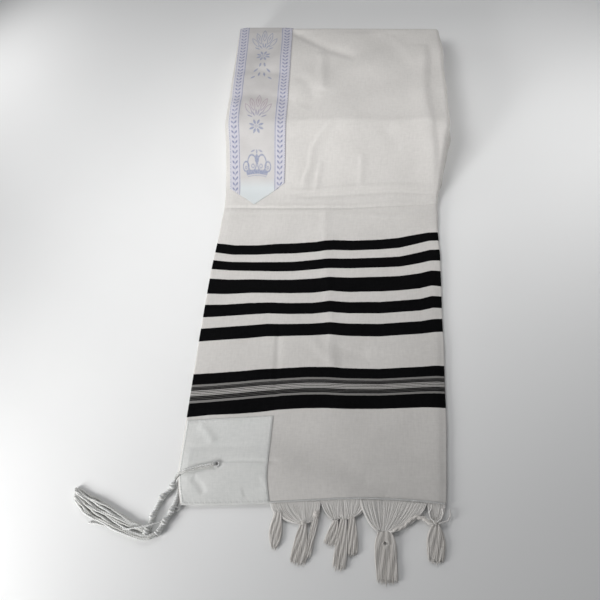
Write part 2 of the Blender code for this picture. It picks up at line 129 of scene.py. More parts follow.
turn, down, tilt = np.radians([CAMERA_TURN, CAMERA_DOWN, CAMERA_TILT])
ahead = np.array([-np.sin(turn) * np.cos(down), np.cos(turn) * np.cos(down), -np.sin(down)])
level = np.array([np.cos(turn), np.sin(turn), 0.0])
rise = np.cross(level, ahead)
side, rise = np.cos(tilt) * level + np.sin(tilt) * rise, np.cos(tilt) * rise - np.sin(tilt) * level
lens = bpy.data.cameras.new("camera")
lens.lens, lens.sensor_width = LENS, SENSOR
lens.clip_start, lens.clip_end = NEAREST, FARTHEST
camera = bpy.data.objects.new("camera", lens)
bpy.context.scene.collection.objects.link(camera)
camera.matrix_world = standing((side, rise, -ahead), CAMERA_AT)
bpy.context.scene.camera = camera

for name, faces, side, height, away, size, beam, power in PANELS:
    lamp = bpy.data.lights.new(name, "AREA")
    lamp.shape, lamp.size, lamp.energy, lamp.spread = "SQUARE", size, power, np.radians(beam)
    panel = bpy.data.objects.new(name, lamp)
    panel.visible_camera = False
    bpy.context.scene.collection.objects.link(panel)
    round_by, up = np.radians([side, height])
    back = np.array([np.sin(round_by) * np.cos(up), -np.cos(round_by) * np.cos(up), np.sin(up)])
    wide = np.cross((0, 0, 1), back) / np.cos(up)
    panel.matrix_world = standing((wide, np.cross(back, wide), back), np.array(faces) + back * away)

sky = bpy.data.worlds.new("room light")
sky.use_nodes = True
sky.node_tree.nodes["Background"].inputs["Color"].default_value = (*linear(ROOM_TINT), 1)
sky.node_tree.nodes["Background"].inputs["Strength"].default_value = ROOM_LIGHT
bpy.context.scene.view_settings.view_transform = "Standard"
bpy.context.scene.world = sky


# Striped cloth, upper ply
# A wool and cotton plain weave, 0.61 m wide, folded once along its length. Its near end
# lies flat, then it climbs over the folded far half to a ridge and ends in a far fold.
PLY = 0.0014            # the cloth's thickness
CLOTH_WIDTH = 0.305     # its width as folded
FLAP_FOLD, HEAP_FOLD = 0.0020, 0.0060       # outer radius of the lengthwise fold
FLAP_WRAP, HEAP_WRAP = 120.0, 105.0         # degrees that the cloth turns round it
HEM_WAVE = 0.0055                           # how far the hem bows
EDGE_DROP, EDGE_RUN = 0.0022, 0.010         # how the long edge sinks on the heap
HEAP_FROM, HEAP_FULL = 0.006, 0.018         # heights between which the heap opens up
EYELET, EYELET_RADIUS = (-0.1045, -0.3330), 0.0019
# Mid row, how far it rises from left to right, the two edges, height of the upper face.
ROW, SKEW, LEFT, RIGHT, LEVEL = range(5)
STATIONS = np.array([
    (-0.3740,  0.008, -0.1430,  0.1490,  0.0042), (-0.3400,  0.000, -0.1510,  0.1505,  0.0042),
    (-0.2700,  0.000, -0.1520,  0.1525,  0.0042), (-0.1700,  0.000, -0.1525,  0.1530,  0.0042),
    (-0.0700,  0.000, -0.1515,  0.1525,  0.0044), (-0.0250, -0.004, -0.1490,  0.1505,  0.0046),
    (0.0070,  -0.018, -0.1470,  0.1500,  0.0056), (0.0225,  -0.020, -0.1460,  0.1495,  0.0054),
    (0.0380,  -0.024, -0.1460,  0.1510,  0.0084), (0.0540,  -0.028, -0.1467,  0.1550,  0.0125),
    (0.0850,  -0.034, -0.1475,  0.1610,  0.0240), (0.1200,  -0.038, -0.1495,  0.1675,  0.0360),
    (0.1530,  -0.042, -0.1520,  0.1725,  0.0435), (0.1900,  -0.048, -0.1525,  0.1720,  0.0430),
    (0.2500,  -0.055, -0.1545,  0.1700,  0.0405), (0.3100,  -0.060, -0.1565,  0.1680,  0.0380),
    (0.3565,  -0.063, -0.1585,  0.1640,  0.0355)])
HEM, FAR = STATIONS[0, ROW], STATIONS[-1, ROW]
LOWEST_TROUGH = 0.0025      # the flap can sink this far before it lies on the table
SLACK_FLAP, SLACK_HEAP = 0.00022, 0.00067   # how high its long slack waves are
CALM_EDGE = 0.012           # stretch before the long edge and the far fold where it all fades
# Creases: height, half width, and how far to one side they lean, then places along them
# as share of the width and row. Negative heights are troughs.
CREASES = [
    # The foot of the heap, and the flat ridge through the eyelet with the hem's trough below it.
    (0.0024, 0.0240, -0.4, [(-0.20, 0.0230), (0.33, 0.0200), (0.60, 0.0190), (0.85, 0.0225),
                            (1.20, 0.0270)]),
    (0.0036, 0.0300, -0.3, [(-0.20, -0.3340), (0.155, -0.3365), (0.366, -0.3345), (0.430, -0.3410),
                            (0.560, -0.3560), (0.760, -0.3860)]),
    (-0.0025, 0.0220, 0.0, [(-0.25, -0.3810), (0.30, -0.3790), (0.52, -0.3850), (0.76, -0.4050)]),
    # Small ones on the corner patch, and the edge at the lengthwise fold.
    (-0.0011, 0.0022, 0.4, [(0.16, -0.3305), (0.24, -0.3290), (0.33, -0.3290), (0.400, -0.3305)]),
    (-0.0006, 0.0045, 0.2, [(-0.02, -0.3150), (0.12, -0.3120), (0.25, -0.3125), (0.340, -0.3110)]),
    (0.0007, 0.0050, 0.0, [(0.06, -0.2840), (0.10, -0.2960), (0.13, -0.3080)]),
    (-0.0007, 0.0045, 0.3, [(0.06, -0.3480), (0.09, -0.3560), (0.10, -0.3640)]),
    (-0.0006, 0.0060, 0.0, [(0.25, -0.3640), (0.31, -0.3590), (0.34, -0.3520)]),
    (-0.0014, 0.0060, 0.0, [(1.01, -0.4200), (1.005, -0.3000), (1.01, -0.0600)]),
    # Lines across the foot of the slope, and where it meets the plateau.
    (0.0011, 0.0030, 0.5, [(0.30, 0.0470), (0.47, 0.0505), (0.61, 0.0548), (0.80, 0.0563),
                           (1.00, 0.0550)]),
    (-0.0010, 0.0030, 0.0, [(0.36, 0.0400), (0.60, 0.0440), (0.82, 0.0470), (1.00, 0.0440)]),
    (-0.0011, 0.0017, 0.0, [(-0.05, 0.0262), (0.33, 0.0232), (0.60, 0.0217), (0.85, 0.0256),
                            (1.05, 0.0295)]),
    (0.0004, 0.0026, 0.3, [(-0.05, 0.0300), (0.33, 0.0275), (0.60, 0.0262), (0.85, 0.0300),
                           (1.05, 0.0340)]),
    (0.0004, 0.0034, 0.3, [(-0.05, 0.0180), (0.38, 0.0168), (0.60, 0.0115), (0.85, 0.0056),
                           (1.05, 0.0180)]),
    (0.0005, 0.0050, 0.4, [(0.28, 0.1505), (0.64, 0.1523), (0.92, 0.1513), (1.02, 0.1410)]),
    # The plateau's right edge, its troughs and low ridges.
    (0.0026, 0.0100, -0.9, [(0.93, 0.3200), (0.931, 0.2819), (0.917, 0.2225), (0.922, 0.1791),
                            (0.942, 0.1314), (0.963, 0.1055), (0.991, 0.0573)]),
    (-0.0015, 0.0085, 0.3, [(0.25, 0.3640), (0.386, 0.3287), (0.487, 0.3068), (0.620, 0.2870)]),
    (0.0014, 0.0080, 0.0, [(0.448, 0.3000), (0.450, 0.2805), (0.455, 0.2254), (0.460, 0.2100)]),
    (-0.0010, 0.0090, 0.0, [(0.33, 0.2450), (0.38, 0.2300), (0.42, 0.1950), (0.38, 0.1750)]),
    (0.0016, 0.0070, 0.4, [(-0.05, 0.1100), (0.02, 0.1250), (0.06, 0.1600), (0.05, 0.1900)]),
    (-0.0016, 0.0110, 0.2, [(-0.05, 0.1950), (0.10, 0.2010), (0.22, 0.1960), (0.33, 0.1900)]),
    (-0.0012, 0.0100, 0.2, [(-0.05, 0.2500), (0.12, 0.2560), (0.28, 0.2500)]),
    (0.0006, 0.0100, 0.0, [(0.70, 0.3560), (0.80, 0.3350), (0.86, 0.3000), (0.89, 0.2700)]),
    # Down the slope.
    (0.0012, 0.0050, 0.6, [(0.520, 0.1500), (0.492, 0.1400), (0.450, 0.1231), (0.423, 0.1085),
                           (0.418, 0.0846), (0.382, 0.0500)]),
    (0.0009, 0.0040, 0.3, [(0.470, 0.0900), (0.465, 0.0807), (0.450, 0.0480)]),
    (0.0009, 0.0045, 0.3, [(0.655, 0.1000), (0.658, 0.0919), (0.662, 0.0540)]),
    (-0.0012, 0.0110, 0.0, [(0.74, 0.1420), (0.79, 0.1230), (0.83, 0.1080)]),
    # Along the striped flap, and two beside the patch.
    (0.0008, 0.0070, 0.0, [(0.497, 0.0420), (0.512, -0.0290), (0.533, -0.0918), (0.559, -0.1560),
                           (0.575, -0.2300)]),
    (-0.0007, 0.0040, 0.5, [(0.340, -0.1500), (0.345, -0.1760), (0.350, -0.2166), (0.352, -0.2600)]),
    (0.0007, 0.0060, 0.3, [(0.660, -0.3350), (0.750, -0.3335), (1.02, -0.3310)]),
    (0.0007, 0.0060, 0.3, [(0.720, -0.3530), (0.800, -0.3505), (1.02, -0.3450)]),
    (-0.0006, 0.0060, 0.2, [(0.560, -0.1820), (0.640, -0.1960), (0.720, -0.2030)]),
    (0.0007, 0.0070, 0.2, [(0.480, -0.1760), (0.560, -0.2030), (0.600, -0.2160)]),
    (0.0008, 0.0090, 0.0, [(0.700, -0.1900), (0.850, -0.1930), (1.02, -0.1900)]),
]
# The weft's own wander: how far the stripes run above their mean row, in millimetres. Each
# line of WANDER is a row of the cloth, with its places across at the shares of WANDER_AT.
WANDER_AT = np.array([.0, .089, .202, .290, .379, .473, .550, .634, .757, .839, .919, .966, 1.0])
WANDER_ROWS = np.array([-.320, -.270, -.256, -.216, -.164, -.132, -.098, -.067, -.038, .010])
WANDER = np.array([
    (0, 0, 0, 0, 0, 0, 0, 0, 0, 0, 0, 0, 0),
    (-12.4, -8.8, -7.2, -4.8, -2.2, -1.0, -.8, -1.8, -1.6, -1.2, -.8, -1, -1.2),
    (-8, -6.9, -4.5, -2.1, .4, 1.3, 1.3, -.1, -.1, .8, 1.8, 1.8, 1.8),
    (-4.5, -3.4, -1.5, .5, 1.4, 2.4, 1.9, 0, -2, -1, 0, 1, 1),
    (-3, -1.7, -.2, 1.7, 1.0, .8, 1.5, -1.5, -3.4, -2.1, -1, .8, 1.6),
    (1, 1.3, 2, 2.4, 0, -.7, 1.3, -1.9, -3.6, -2.4, -1.4, 2.2, 1.8),
    (6.0, 3.9, 3.7, 1.5, .1, -.6, 1.0, -1.9, -2.2, -2.2, -.6, 2.5, 1.0),
    (8.5, 4.6, 1.2, -1, -1.7, -.3, -.3, -1.7, -2.5, -2.5, 1.2, 3.9, 3.9),
    (6.5, .4, -1.6, -.7, -1.4, -1, 1.0, -1.4, -2.4, -1, 4.0, 7.1, 7.1),
    (0, 0, 0, 0, 0, 0, 0, 0, 0, 0, 0, 0, 0)])


def station(column, y):
    """One column of STATIONS at row y, by cubics whose slope is the harmonic mean of the
    two sides, so that no bump appears between the stations."""
    ys, vs = STATIONS[:, ROW], STATIONS[:, column]
    step = np.diff(vs) / np.diff(ys)
    product = step[:-1] * step[1:]
    inner = np.where(product > 0, 2 * product / np.where(product > 0, step[:-1] + step[1:], 1), 0)
    slope = np.concatenate([step[:1], inner, step[-1:]])
    y = np.clip(y, ys[0], ys[-1])
    i = np.clip(np.searchsorted(ys, y) - 1, 0, len(step) - 1)
    h = ys[i + 1] - ys[i]
    t = (y - ys[i]) / h
    return ((2 * t**3 - 3 * t**2 + 1) * vs[i] + (t**3 - 2 * t**2 + t) * h * slope[i]
            + (3 * t**2 - 2 * t**3) * vs[i + 1] + (t**3 - t**2) * h * slope[i + 1])


def heaped(y):
    """0 on the flap, 1 on the heap, a smooth step in the height of the upper face."""
    t = np.clip((station(LEVEL, y) - HEAP_FROM) / (HEAP_FULL - HEAP_FROM), 0, 1)
    return t * t * (3 - 2 * t)


def fold_radius(y):
    """Outer radius of the lengthwise fold, which opens up on the heap."""
    return FLAP_FOLD + (HEAP_FOLD - FLAP_FOLD) * heaped(y)


def fold_wrap(y):
    """Angle that the cloth turns round that fold."""
    return np.radians(FLAP_WRAP + (HEAP_WRAP - FLAP_WRAP) * heaped(y))


def top(u, y):
    """Upper face: x runs straight from the long edge (u 0) to the start of the fold (u 1),
    y adds the row's skew and the bow of the hem, z drops off at the long edge."""
    left, right = station(LEFT, y), station(RIGHT, y) - fold_radius(y)
    x = left + (right - left) * u
    bow = HEM_WAVE * np.sin(np.pi * u * u) * np.exp(-(y - HEM) / 0.03)
    drop = EDGE_DROP * heaped(y) * np.exp(-((x - left) / EDGE_RUN) ** 2)
    return np.stack([x, y + station(SKEW, y) * (u - 0.5) + bow, station(LEVEL, y) - drop], -1)


def unit(v):
    """The vectors made one long."""
    return v / np.linalg.norm(v, axis=-1, keepdims=True)


def distance_along(line):
    """Length of a line of points, or of each of several lines, from its start to each point."""
    return np.cumsum(np.linalg.norm(np.diff(line, axis=-2, prepend=line[..., :1, :]), axis=-1), -1)


def cloth(p, q, out):
    """The upper ply moved out along its normal. p 0 to 1 goes over the top and 1 to 2 round
    the lengthwise fold; q goes up to FAR over the top and FAR to FAR + 1 round the far
    fold. Round a fold the point is turned about an axis one radius below the top."""
    p, q = np.broadcast_arrays(np.asarray(p, float), np.asarray(q, float))
    u, y = np.minimum(p, 1.0), np.minimum(q, FAR)
    nudge = 0.0005
    base = top(u, y)
    beside, beyond = np.minimum(u + nudge, 1), np.minimum(y + nudge, FAR)
    across = unit(top(beside, y) - top(beside - nudge, y))
    along = unit(top(u, beyond) - top(u, beyond - nudge))
    normal = unit(np.cross(across, along))
    right, far = np.cross(along, normal), np.cross(normal, across)
    a, b = np.maximum(p - 1, 0), np.maximum(q - FAR, 0)
    big = np.maximum(a, b)
    phi = np.where(a >= b, np.pi / 4 * b / np.maximum(a, 1e-9),
                   np.pi / 2 - np.pi / 4 * a / np.maximum(b, 1e-9))
    theta = (big * fold_wrap(y))[..., None]
    r = fold_radius(y)[..., None]
    reach = r + np.broadcast_to(out, p.shape)[..., None]
    away = unit(np.cos(phi)[..., None] * right + np.sin(phi)[..., None] * far)
    return base + normal * (reach * np.cos(theta) - r) + away * reach * np.sin(theta)


def crease(u, y, line, wide, lean):
    """1 on a broken line and falling off as a bell curve beside it, steeper on one side if
    lean isn't 0, and fading over its first and last eighth where it ends on the cloth."""
    at = np.array(line) * (CLOTH_WIDTH, 1.0)
    x = u * CLOTH_WIDTH
    best, signed, along = np.full(x.shape, np.inf), np.zeros(x.shape), np.zeros(x.shape)
    length = distance_along(at)
    for a, b, start in zip(at[:-1], at[1:], length):
        run = b - a
        t = np.clip(((x - a[0]) * run[0] + (y - a[1]) * run[1]) / (run @ run), 0, 1)
        dx, dy = x - a[0] - t * run[0], y - a[1] - t * run[1]
        d = np.hypot(dx, dy)
        near = d < best
        best = np.where(near, d, best)
        signed = np.where(near, d * np.sign(run[0] * dy - run[1] * dx), signed)
        along = np.where(near, (start + t * np.hypot(*run)) / length[-1], along)
    s = signed / wide
    bell = np.exp(-s * s / (1 + lean * np.tanh(s)))
    faded = 0.12
    return bell * np.clip(along / faded, 0, 1) ** 0.7 * np.clip((1 - along) / faded, 0, 1) ** 0.7


def folds(p, q):
    """Height of the creases and of the cloth's slack over its plain form: the bell curves
    of CREASES, and three long waves that are stronger on the heap than on the flap, both
    weaker before the long edge and towards the two folds."""
    u, y = np.minimum(p, 1.0), np.minimum(q, FAR)
    x = u * CLOTH_WIDTH
    height = sum(h * crease(u, y, line, wide, lean) for h, wide, lean, line in CREASES)
    slack = SLACK_FLAP + (SLACK_HEAP - SLACK_FLAP) * heaped(y)
    height = height + slack * (np.sin(52 * x + 31 * y + 0.7) + 0.8 * np.sin(-38 * x + 74 * y + 2.1)
                               + 0.6 * np.sin(88 * x - 47 * y + 4.0 * np.sin(9 * y)))
    settled = np.clip(x / CALM_EDGE, 0, 1) * np.clip((1.02 - u) / 0.03, 0.25, 1)
    ends = np.clip((FAR - y) / CALM_EDGE, 0.2, 1)
    return np.maximum(height * (0.35 + 0.65 * settled) * ends, -LOWEST_TROUGH)


def share_across(x, y):
    """Share of the cloth's width at which x lies in row y, from the long edge to the fold."""
    left = station(LEFT, y)
    return (x - left) / (station(RIGHT, y) - fold_radius(y) - left)


def place_on_cloth(x, y):
    """Share of the width and row of the cloth below a place, closing in on them in turns."""
    q = np.array(y, float)
    for _ in range(6):
        u = np.clip(share_across(x, q), 0, 1)
        q = q + y - top(u, q)[..., 1]
    return u, q


def wander(p, q):
    """The weft's offset from its mean row: WANDER, run in straight lines from place to
    place across the cloth and from row to row along it."""
    u, y = np.clip(p, 0, 1), np.clip(q, *WANDER_ROWS[[0, -1]])
    rows = np.stack([np.interp(u, WANDER_AT, row) for row in WANDER], -1)
    i = np.clip(np.searchsorted(WANDER_ROWS, y) - 1, 0, len(WANDER_ROWS) - 2)
    t = (y - WANDER_ROWS[i]) / (WANDER_ROWS[i + 1] - WANDER_ROWS[i])
    low, high = (np.take_along_axis(rows, (i + k)[..., None], -1)[..., 0] for k in (0, 1))
    return 0.001 * (low + (high - low) * t)


def around(index):
    """The ring of point numbers round a grid, anticlockwise from above."""
    return np.concatenate([index[0, :-1], index[:-1, -1], index[-1, :0:-1], index[:0:-1, 0]])


def cells(index):
    """The four point numbers of each cell of a grid, anticlockwise from above."""
    return np.stack([index[:-1, :-1], index[:-1, 1:], index[1:, 1:], index[1:, :-1]], -1)


def closed_sheet(name, over, under, step, mat, uv, hole=None, values=None):
    """Joins an upper face (rows, cols, 3) to an under face made of every step-th line of
    it. hole is the grid place whose four cells are opened into a round hole."""
    rows, cols = over.shape[:2]
    index = np.arange(rows * cols).reshape(rows, cols)
    coarse = rows * cols + np.arange(under.shape[0] * under.shape[1]).reshape(under.shape[:2])
    upper, lower = cells(index), cells(coarse)[..., [0, 3, 2, 1]]
    keep_upper, keep_lower = np.ones(upper.shape[:2], bool), np.ones(lower.shape[:2], bool)
    rings = [(around(index), around(coarse))]
    if hole:
        j, i, radius = hole
        keep_upper[j - 1:j + 1, i - 1:i + 1] = False
        keep_lower[(j - 1) // step, (i - 1) // step] = False
        fine = around(index[j - 1:j + 2, i - 1:i + 2])
        turn = np.radians(np.arange(8) * 45.0 - 135.0)
        rim = over[j, i, :2] + radius * np.stack([np.cos(turn), np.sin(turn)], -1)
        over.reshape(-1, 3)[fine, :2] = rim
        thin = around(coarse[(j - 1) // step:(j - 1) // step + 2, (i - 1) // step:(i - 1) // step + 2])
        under.reshape(-1, 3)[thin - rows * cols, :2] = rim[::2]
        rings.append((fine[np.r_[0, 7:0:-1]], thin[np.r_[0, 3:0:-1]]))
    walls = []
    for fine, thin in rings:
        n = np.arange(len(thin))
        span = fine[(n[:, None] * step + np.arange(step, -1, -1)) % len(fine)]
        walls.append(np.concatenate([span, thin[n][:, None], thin[(n + 1) % len(thin)][:, None]], 1))
    points = np.concatenate([over.reshape(-1, 3), under.reshape(-1, 3)])
    both = np.concatenate([uv.reshape(-1, 2), uv[::step, ::step].reshape(-1, 2)])
    values = {key: np.concatenate([v.ravel(), v[::step, ::step].ravel()])
              for key, v in (values or {}).items()}
    return piece(name, points, [upper[keep_upper], lower[keep_lower], *walls], mat, both, values)


def through(lines, at):
    """Slides an odd line of a row of grid lines onto a place, and its neighbours with it."""
    k = int(np.abs(lines - at).argmin())
    k += 1 - k % 2
    width = 6 * abs(lines[k + 1] - lines[k])
    return lines + (at - lines[k]) * np.exp(-((lines - lines[k]) / width) ** 2), k


def spread(low, high, count, busy):
    """Grid lines from low to high, about twice as close together inside the busy range,
    with a change from the one spacing to the other over a few millimetres at its ends."""
    t = np.linspace(low, high, 4000)
    closer, change = 1.2, 0.004
    weight = 1 + closer / (1 + np.exp(-(t - busy[0]) / change)) / (1 + np.exp((t - busy[1]) / change))
    total = np.concatenate([[0], np.cumsum((weight[1:] + weight[:-1]) / 2)])
    return np.interp(np.linspace(0, total[-1], count), total, t)


# Matt wool has hardly any gloss. Threads a millimetre apart can't be told at this size, so
# the weave is drawn at 1.5 mm; slubs, the thicker places of weft and warp, show as faint
# streaks along them, and the finest mottling stands for the thread's fuzz.
WEAVE_PITCH, THREAD_RELIEF = 0.0015, 0.00005
WEFT_SLUB, WARP_SLUB, FUZZ, CLOUD = 1 / 75, 1 / 60, 1 / 240, 1 / 22     # sizes in metres
STREAK = (12.0, 10.0)                           # how many times as long as thick the slubs are
JITTER = 0.0003                                 # by which fuzz blurs a stripe's edge
WHITE_WOOL, WORN_WOOL = "#dad7d3", "#cfccc8"
BLACK_WOOL, WORN_BLACK = "#0b0b0c", "#111112"
# Woven stripes from the hem up: rows where each black one starts and ends.
PLAIN_STRIPES = [(-0.1720, -0.1550), (-0.1405, -0.1240), (-0.1096, -0.0885), (-0.0744, -0.0596),
                 (-0.0463, -0.0311)]
# The wide stripe: row at which each part starts, and its paleness from black to cloth.
WIDE_STRIPE = [(-0.2652, 0.0), (-0.2500, 0.34), (-0.2474, 0.0), (-0.2460, 0.16), (-0.2453, 0.0),
               (-0.2442, 0.16), (-0.2435, 0.0), (-0.2422, 0.62), (-0.2412, 0.06), (-0.2404, 0.75),
               (-0.2393, 0.06), (-0.2385, 0.78), (-0.2374, 0.06), (-0.2366, 0.65), (-0.2357, 0.0),
               (-0.2345, 0.16), (-0.2338, 0.0), (-0.2328, 0.16), (-0.2321, 0.0), (-0.2312, 0.34),
               (-0.2286, 0.0), (-0.2156, 1.0)]


def woven(mat, shader, white, worn, pitch, stripes):
    """A plain weave: bumps where a warp thread crosses over the weft, streaks of slubs along
    the weft, fine mottling, and the stripes by their row in the cut's own map."""
    cut = add(mat, "UVMap", uv_map="cut")
    place = add(mat, "SeparateXYZ", {"Vector": cut.outputs["UV"]})
    weftwise = add(mat, "Mapping", {"Vector": cut.outputs["UV"], "Scale": (1.0, STREAK[0], 1.0)})
    warpwise = add(mat, "Mapping", {"Vector": cut.outputs["UV"], "Scale": (STREAK[1], 1.0, 1.0)})
    noises = [add(mat, "TexNoise", {"Vector": source, "Scale": 1 / size, "Detail": detail}).outputs["Fac"]
              for source, size, detail in ((weftwise.outputs["Vector"], WEFT_SLUB, 3.0),
                                           (warpwise.outputs["Vector"], WARP_SLUB, 2.0),
                                           (cut.outputs["UV"], FUZZ, 3.0), (cut.outputs["UV"], CLOUD, 2.0))]
    rough = noises[0]
    for noise in noises[1:]:
        rough = add(mat, "Math", {0: rough, 1: noise}, operation="ADD").outputs[0]
    worn_by = add(mat, "MapRange", {"Value": rough, "From Min": 1.55, "From Max": 2.45})
    ground = add(mat, "Mix", {0: worn_by.outputs[0], 6: (*linear(worn), 1), 7: (*linear(white), 1)},
                 data_type="RGBA")
    colour = ground.outputs[2]
    if stripes:
        jitter = add(mat, "MapRange", {"Value": noises[2], "To Min": -JITTER, "To Max": JITTER})
        row = add(mat, "Math", {0: place.outputs["Y"], 1: jitter.outputs[0]}, operation="ADD")
        paleness = []
        edges = sorted([(a, 0.0) for a, b in PLAIN_STRIPES] + [(b, 1.0) for a, b in PLAIN_STRIPES])
        for marks in (edges, WIDE_STRIPE):
            low, high = marks[0][0] - 0.001, marks[-1][0] + 0.001
            share = add(mat, "MapRange", {"Value": row.outputs[0], "From Min": low, "From Max": high})
            ramp = add(mat, "ValToRGB", {"Fac": share.outputs[0]})
            ramp.color_ramp.interpolation = "CONSTANT"
            ramp.color_ramp.elements[0].color = (1, 1, 1, 1)
            ramp.color_ramp.elements.remove(ramp.color_ramp.elements[1])
            for at, tone in marks:
                ramp.color_ramp.elements.new((at - low) / (high - low)).color = (tone, tone, tone, 1)
            paleness.append(ramp.outputs["Color"])
        pale = add(mat, "Math", {0: paleness[1], 1: paleness[0]}, operation="MULTIPLY").outputs[0]
        black = add(mat, "Mix", {0: worn_by.outputs[0], 6: (*linear(BLACK_WOOL), 1),
                                 7: (*linear(WORN_BLACK), 1)}, data_type="RGBA")
        colour = add(mat, "Mix", {0: pale, 6: black.outputs[2], 7: colour}, data_type="RGBA").outputs[2]
    mat.node_tree.links.new(colour, shader.inputs["Base Color"])
    waves = []
    for axis in ("X", "Y"):
        turns = add(mat, "Math", {0: place.outputs[axis], 1: 2 * np.pi / pitch}, operation="MULTIPLY")
        waves.append(add(mat, "Math", {0: turns.outputs[0]}, operation="SINE").outputs[0])
    threads = add(mat, "Math", {0: waves[0], 1: waves[1]}, operation="MULTIPLY")
    relief = add(mat, "Math", {0: rough, 1: 1.6}, operation="MULTIPLY")
    relief = add(mat, "Math", {0: threads.outputs[0], 1: relief.outputs[0]}, operation="ADD")
    bump = add(mat, "Bump", {"Height": relief.outputs[0], "Distance": THREAD_RELIEF, "Strength": 0.6})
    mat.node_tree.links.new(bump.outputs["Normal"], shader.inputs["Normal"])


cloth_mat, shader = start_material("wool and cotton plain weave with black stripes", 0.88,
                                   Specular_IOR_Level=0.015)
woven(cloth_mat, shader, WHITE_WOOL, WORN_WOOL, WEAVE_PITCH, True)

COLUMNS, LINES, ROUND_FOLD = 179, 361, 10       # grid lines over the top, and round a fold
FOOT = (-0.005, 0.065)                          # rows whose fine creases need a closer grid
eye_u = share_across(*EYELET)
eye_q = EYELET[1] - (top(eye_u, np.array(EYELET[1]))[1] - EYELET[1])
columns, eye_i = through(np.linspace(0, 1, COLUMNS), float(eye_u))
lines, eye_j = through(spread(HEM, FAR, LINES, FOOT), float(eye_q))
round_steps = np.arange(1, ROUND_FOLD + 1) / ROUND_FOLD
p, q = np.meshgrid(np.concatenate([columns, 1 + round_steps]), np.concatenate([lines, FAR + round_steps]))
raised = folds(p, q)
u, y = np.minimum(p, 1), np.minimum(q, FAR)
round_fold = fold_wrap(y) * fold_radius(y)
cut_map = np.stack([u * CLOTH_WIDTH + (p - u) * round_fold, y - wander(p, y) + (q - y) * round_fold], -1)
upper = closed_sheet("striped_cloth", cloth(p, q, raised), cloth(p, q, raised - PLY)[::2, ::2], 2,
                     cloth_mat, cut_map, hole=(eye_j, eye_i, EYELET_RADIUS))
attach(upper, "root")
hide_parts("cloth_top_ply")


# Folded layers under it
# The flap's lower ply and the far half of the same cloth, folded back and forth. They show
# only at the edges: rounded folds on the right and far sides, two selvedges each on the left.
LAYER_GAP = 0.0003          # between the upper ply and what it lies on
GROOVE = 0.0024             # how deep the edges of the layers are parted
HOLLOW = 0.0042             # how far the heap's middle sinks under the upper ply
FLAP_SUNK = 0.0007          # and the flap's lower ply, whose edge shows a little on two sides:
SHORT_LEFT, SHORT_HEM = 0.0010, 0.0008
SQUASHED = 0.0005           # by which the lowest layer's fold is pressed on the table
LOWEST_CAP = 0.0002         # height above the table that the layers' upper face keeps
LAYERS = [
    # right    far      left     how far each layer's edge stands back
    (0.0010,  0.0020,  0.0020), (0.0030,  0.0000, -0.0005), (0.0005,  0.0040,  0.0030),
    (0.0022,  0.0010,  0.0005), (0.0000,  0.0030,  0.0025)]
# The layers' wool is greyer than the upper ply's: painted shade between the layers.
LAYER_SHADED_WHITE, LAYER_SHADED_WORN = "#d5d2ce", "#c7c4c0"
LAYER_COLUMNS, LAYER_LINES, SLOPE = 49, 181, (0.02, 0.16)   # grid lines, closer on the slope
ROUND_EDGE, LAYER_STEPS = (22, 45, 67, 90), 9   # degrees down the first curve, places per layer

# The same wool as above it, drawn a little greyer all over as painted shade, for the little light that gets
# in between the layers.
layer_mat, shader = start_material("wool and cotton plain weave, folded layers", 0.9,
                                   Sheen_Weight=0.01, Sheen_Roughness=0.5, Specular_IOR_Level=0.03)
woven(layer_mat, shader, LAYER_SHADED_WHITE, LAYER_SHADED_WORN, WEAVE_PITCH, False)

# The upper face lies under the top ply, sunk in its middle.
p, q = np.meshgrid(np.linspace(0, 1, LAYER_COLUMNS), spread(HEM, FAR, LAYER_LINES, SLOPE))
b = heaped(q)
inside = np.clip(p * 14, 0, 1) * np.clip((1 - p) * 14, 0, 1) * np.clip((FAR - q) / 0.02, 0, 1)
sunk = -(PLY + LAYER_GAP) - HOLLOW * b * inside
cap = cloth(p, q, sunk + (np.minimum(folds(p, q), 0) - FLAP_SUNK) * (1 - b))
cap[..., 2] = np.maximum(cap[..., 2], LOWEST_CAP)
cap[:, 0, 0] += SHORT_LEFT
cap[0, :, 1] += SHORT_HEM

# The wall goes down from its rim: a curve under the folds, then one bulge for each layer,
# two at the long edge, as far as the table. profile holds how far out and how high each
# place is.
index = np.arange(cap[..., 0].size).reshape(cap.shape[:2])
ring = around(index)
u, y = p.ravel()[ring], q.ravel()[ring]
at_right, at_far = (u == 1) & (y > HEM), (y == FAR) & (u > 0)
at_hem, at_left = y == HEM, u == 0
way = unit(np.stack([at_right * 1.0 - at_left, at_far * 1.0 - at_hem, 0 * u], -1) + 1e-9)
base = cap.reshape(-1, 3)[ring]
rounded = at_right | at_far
r = np.where(rounded, fold_radius(y), 0.0)
b = heaped(y)
axis_z = base[:, 2] - np.where(rounded, r - PLY - LAYER_GAP, 0)
under = np.where(rounded, np.maximum(axis_z + r * np.cos(fold_wrap(y)) - SQUASHED, 0.3 * base[:, 2]),
                 base[:, 2] * 5 / 6)
profile = [(np.zeros(len(u)), base[:, 2])]
for angle in np.radians(ROUND_EDGE):
    turned = (r - PLY - LAYER_GAP) * np.maximum(b, 0.05)
    profile.append((turned * np.sin(angle),
                    np.where(rounded, axis_z + (base[:, 2] - axis_z) * np.cos(angle),
                             base[:, 2] + (under - base[:, 2]) * angle / 2)))
seat = np.arange(len(u)) / len(u) * 2 * np.pi
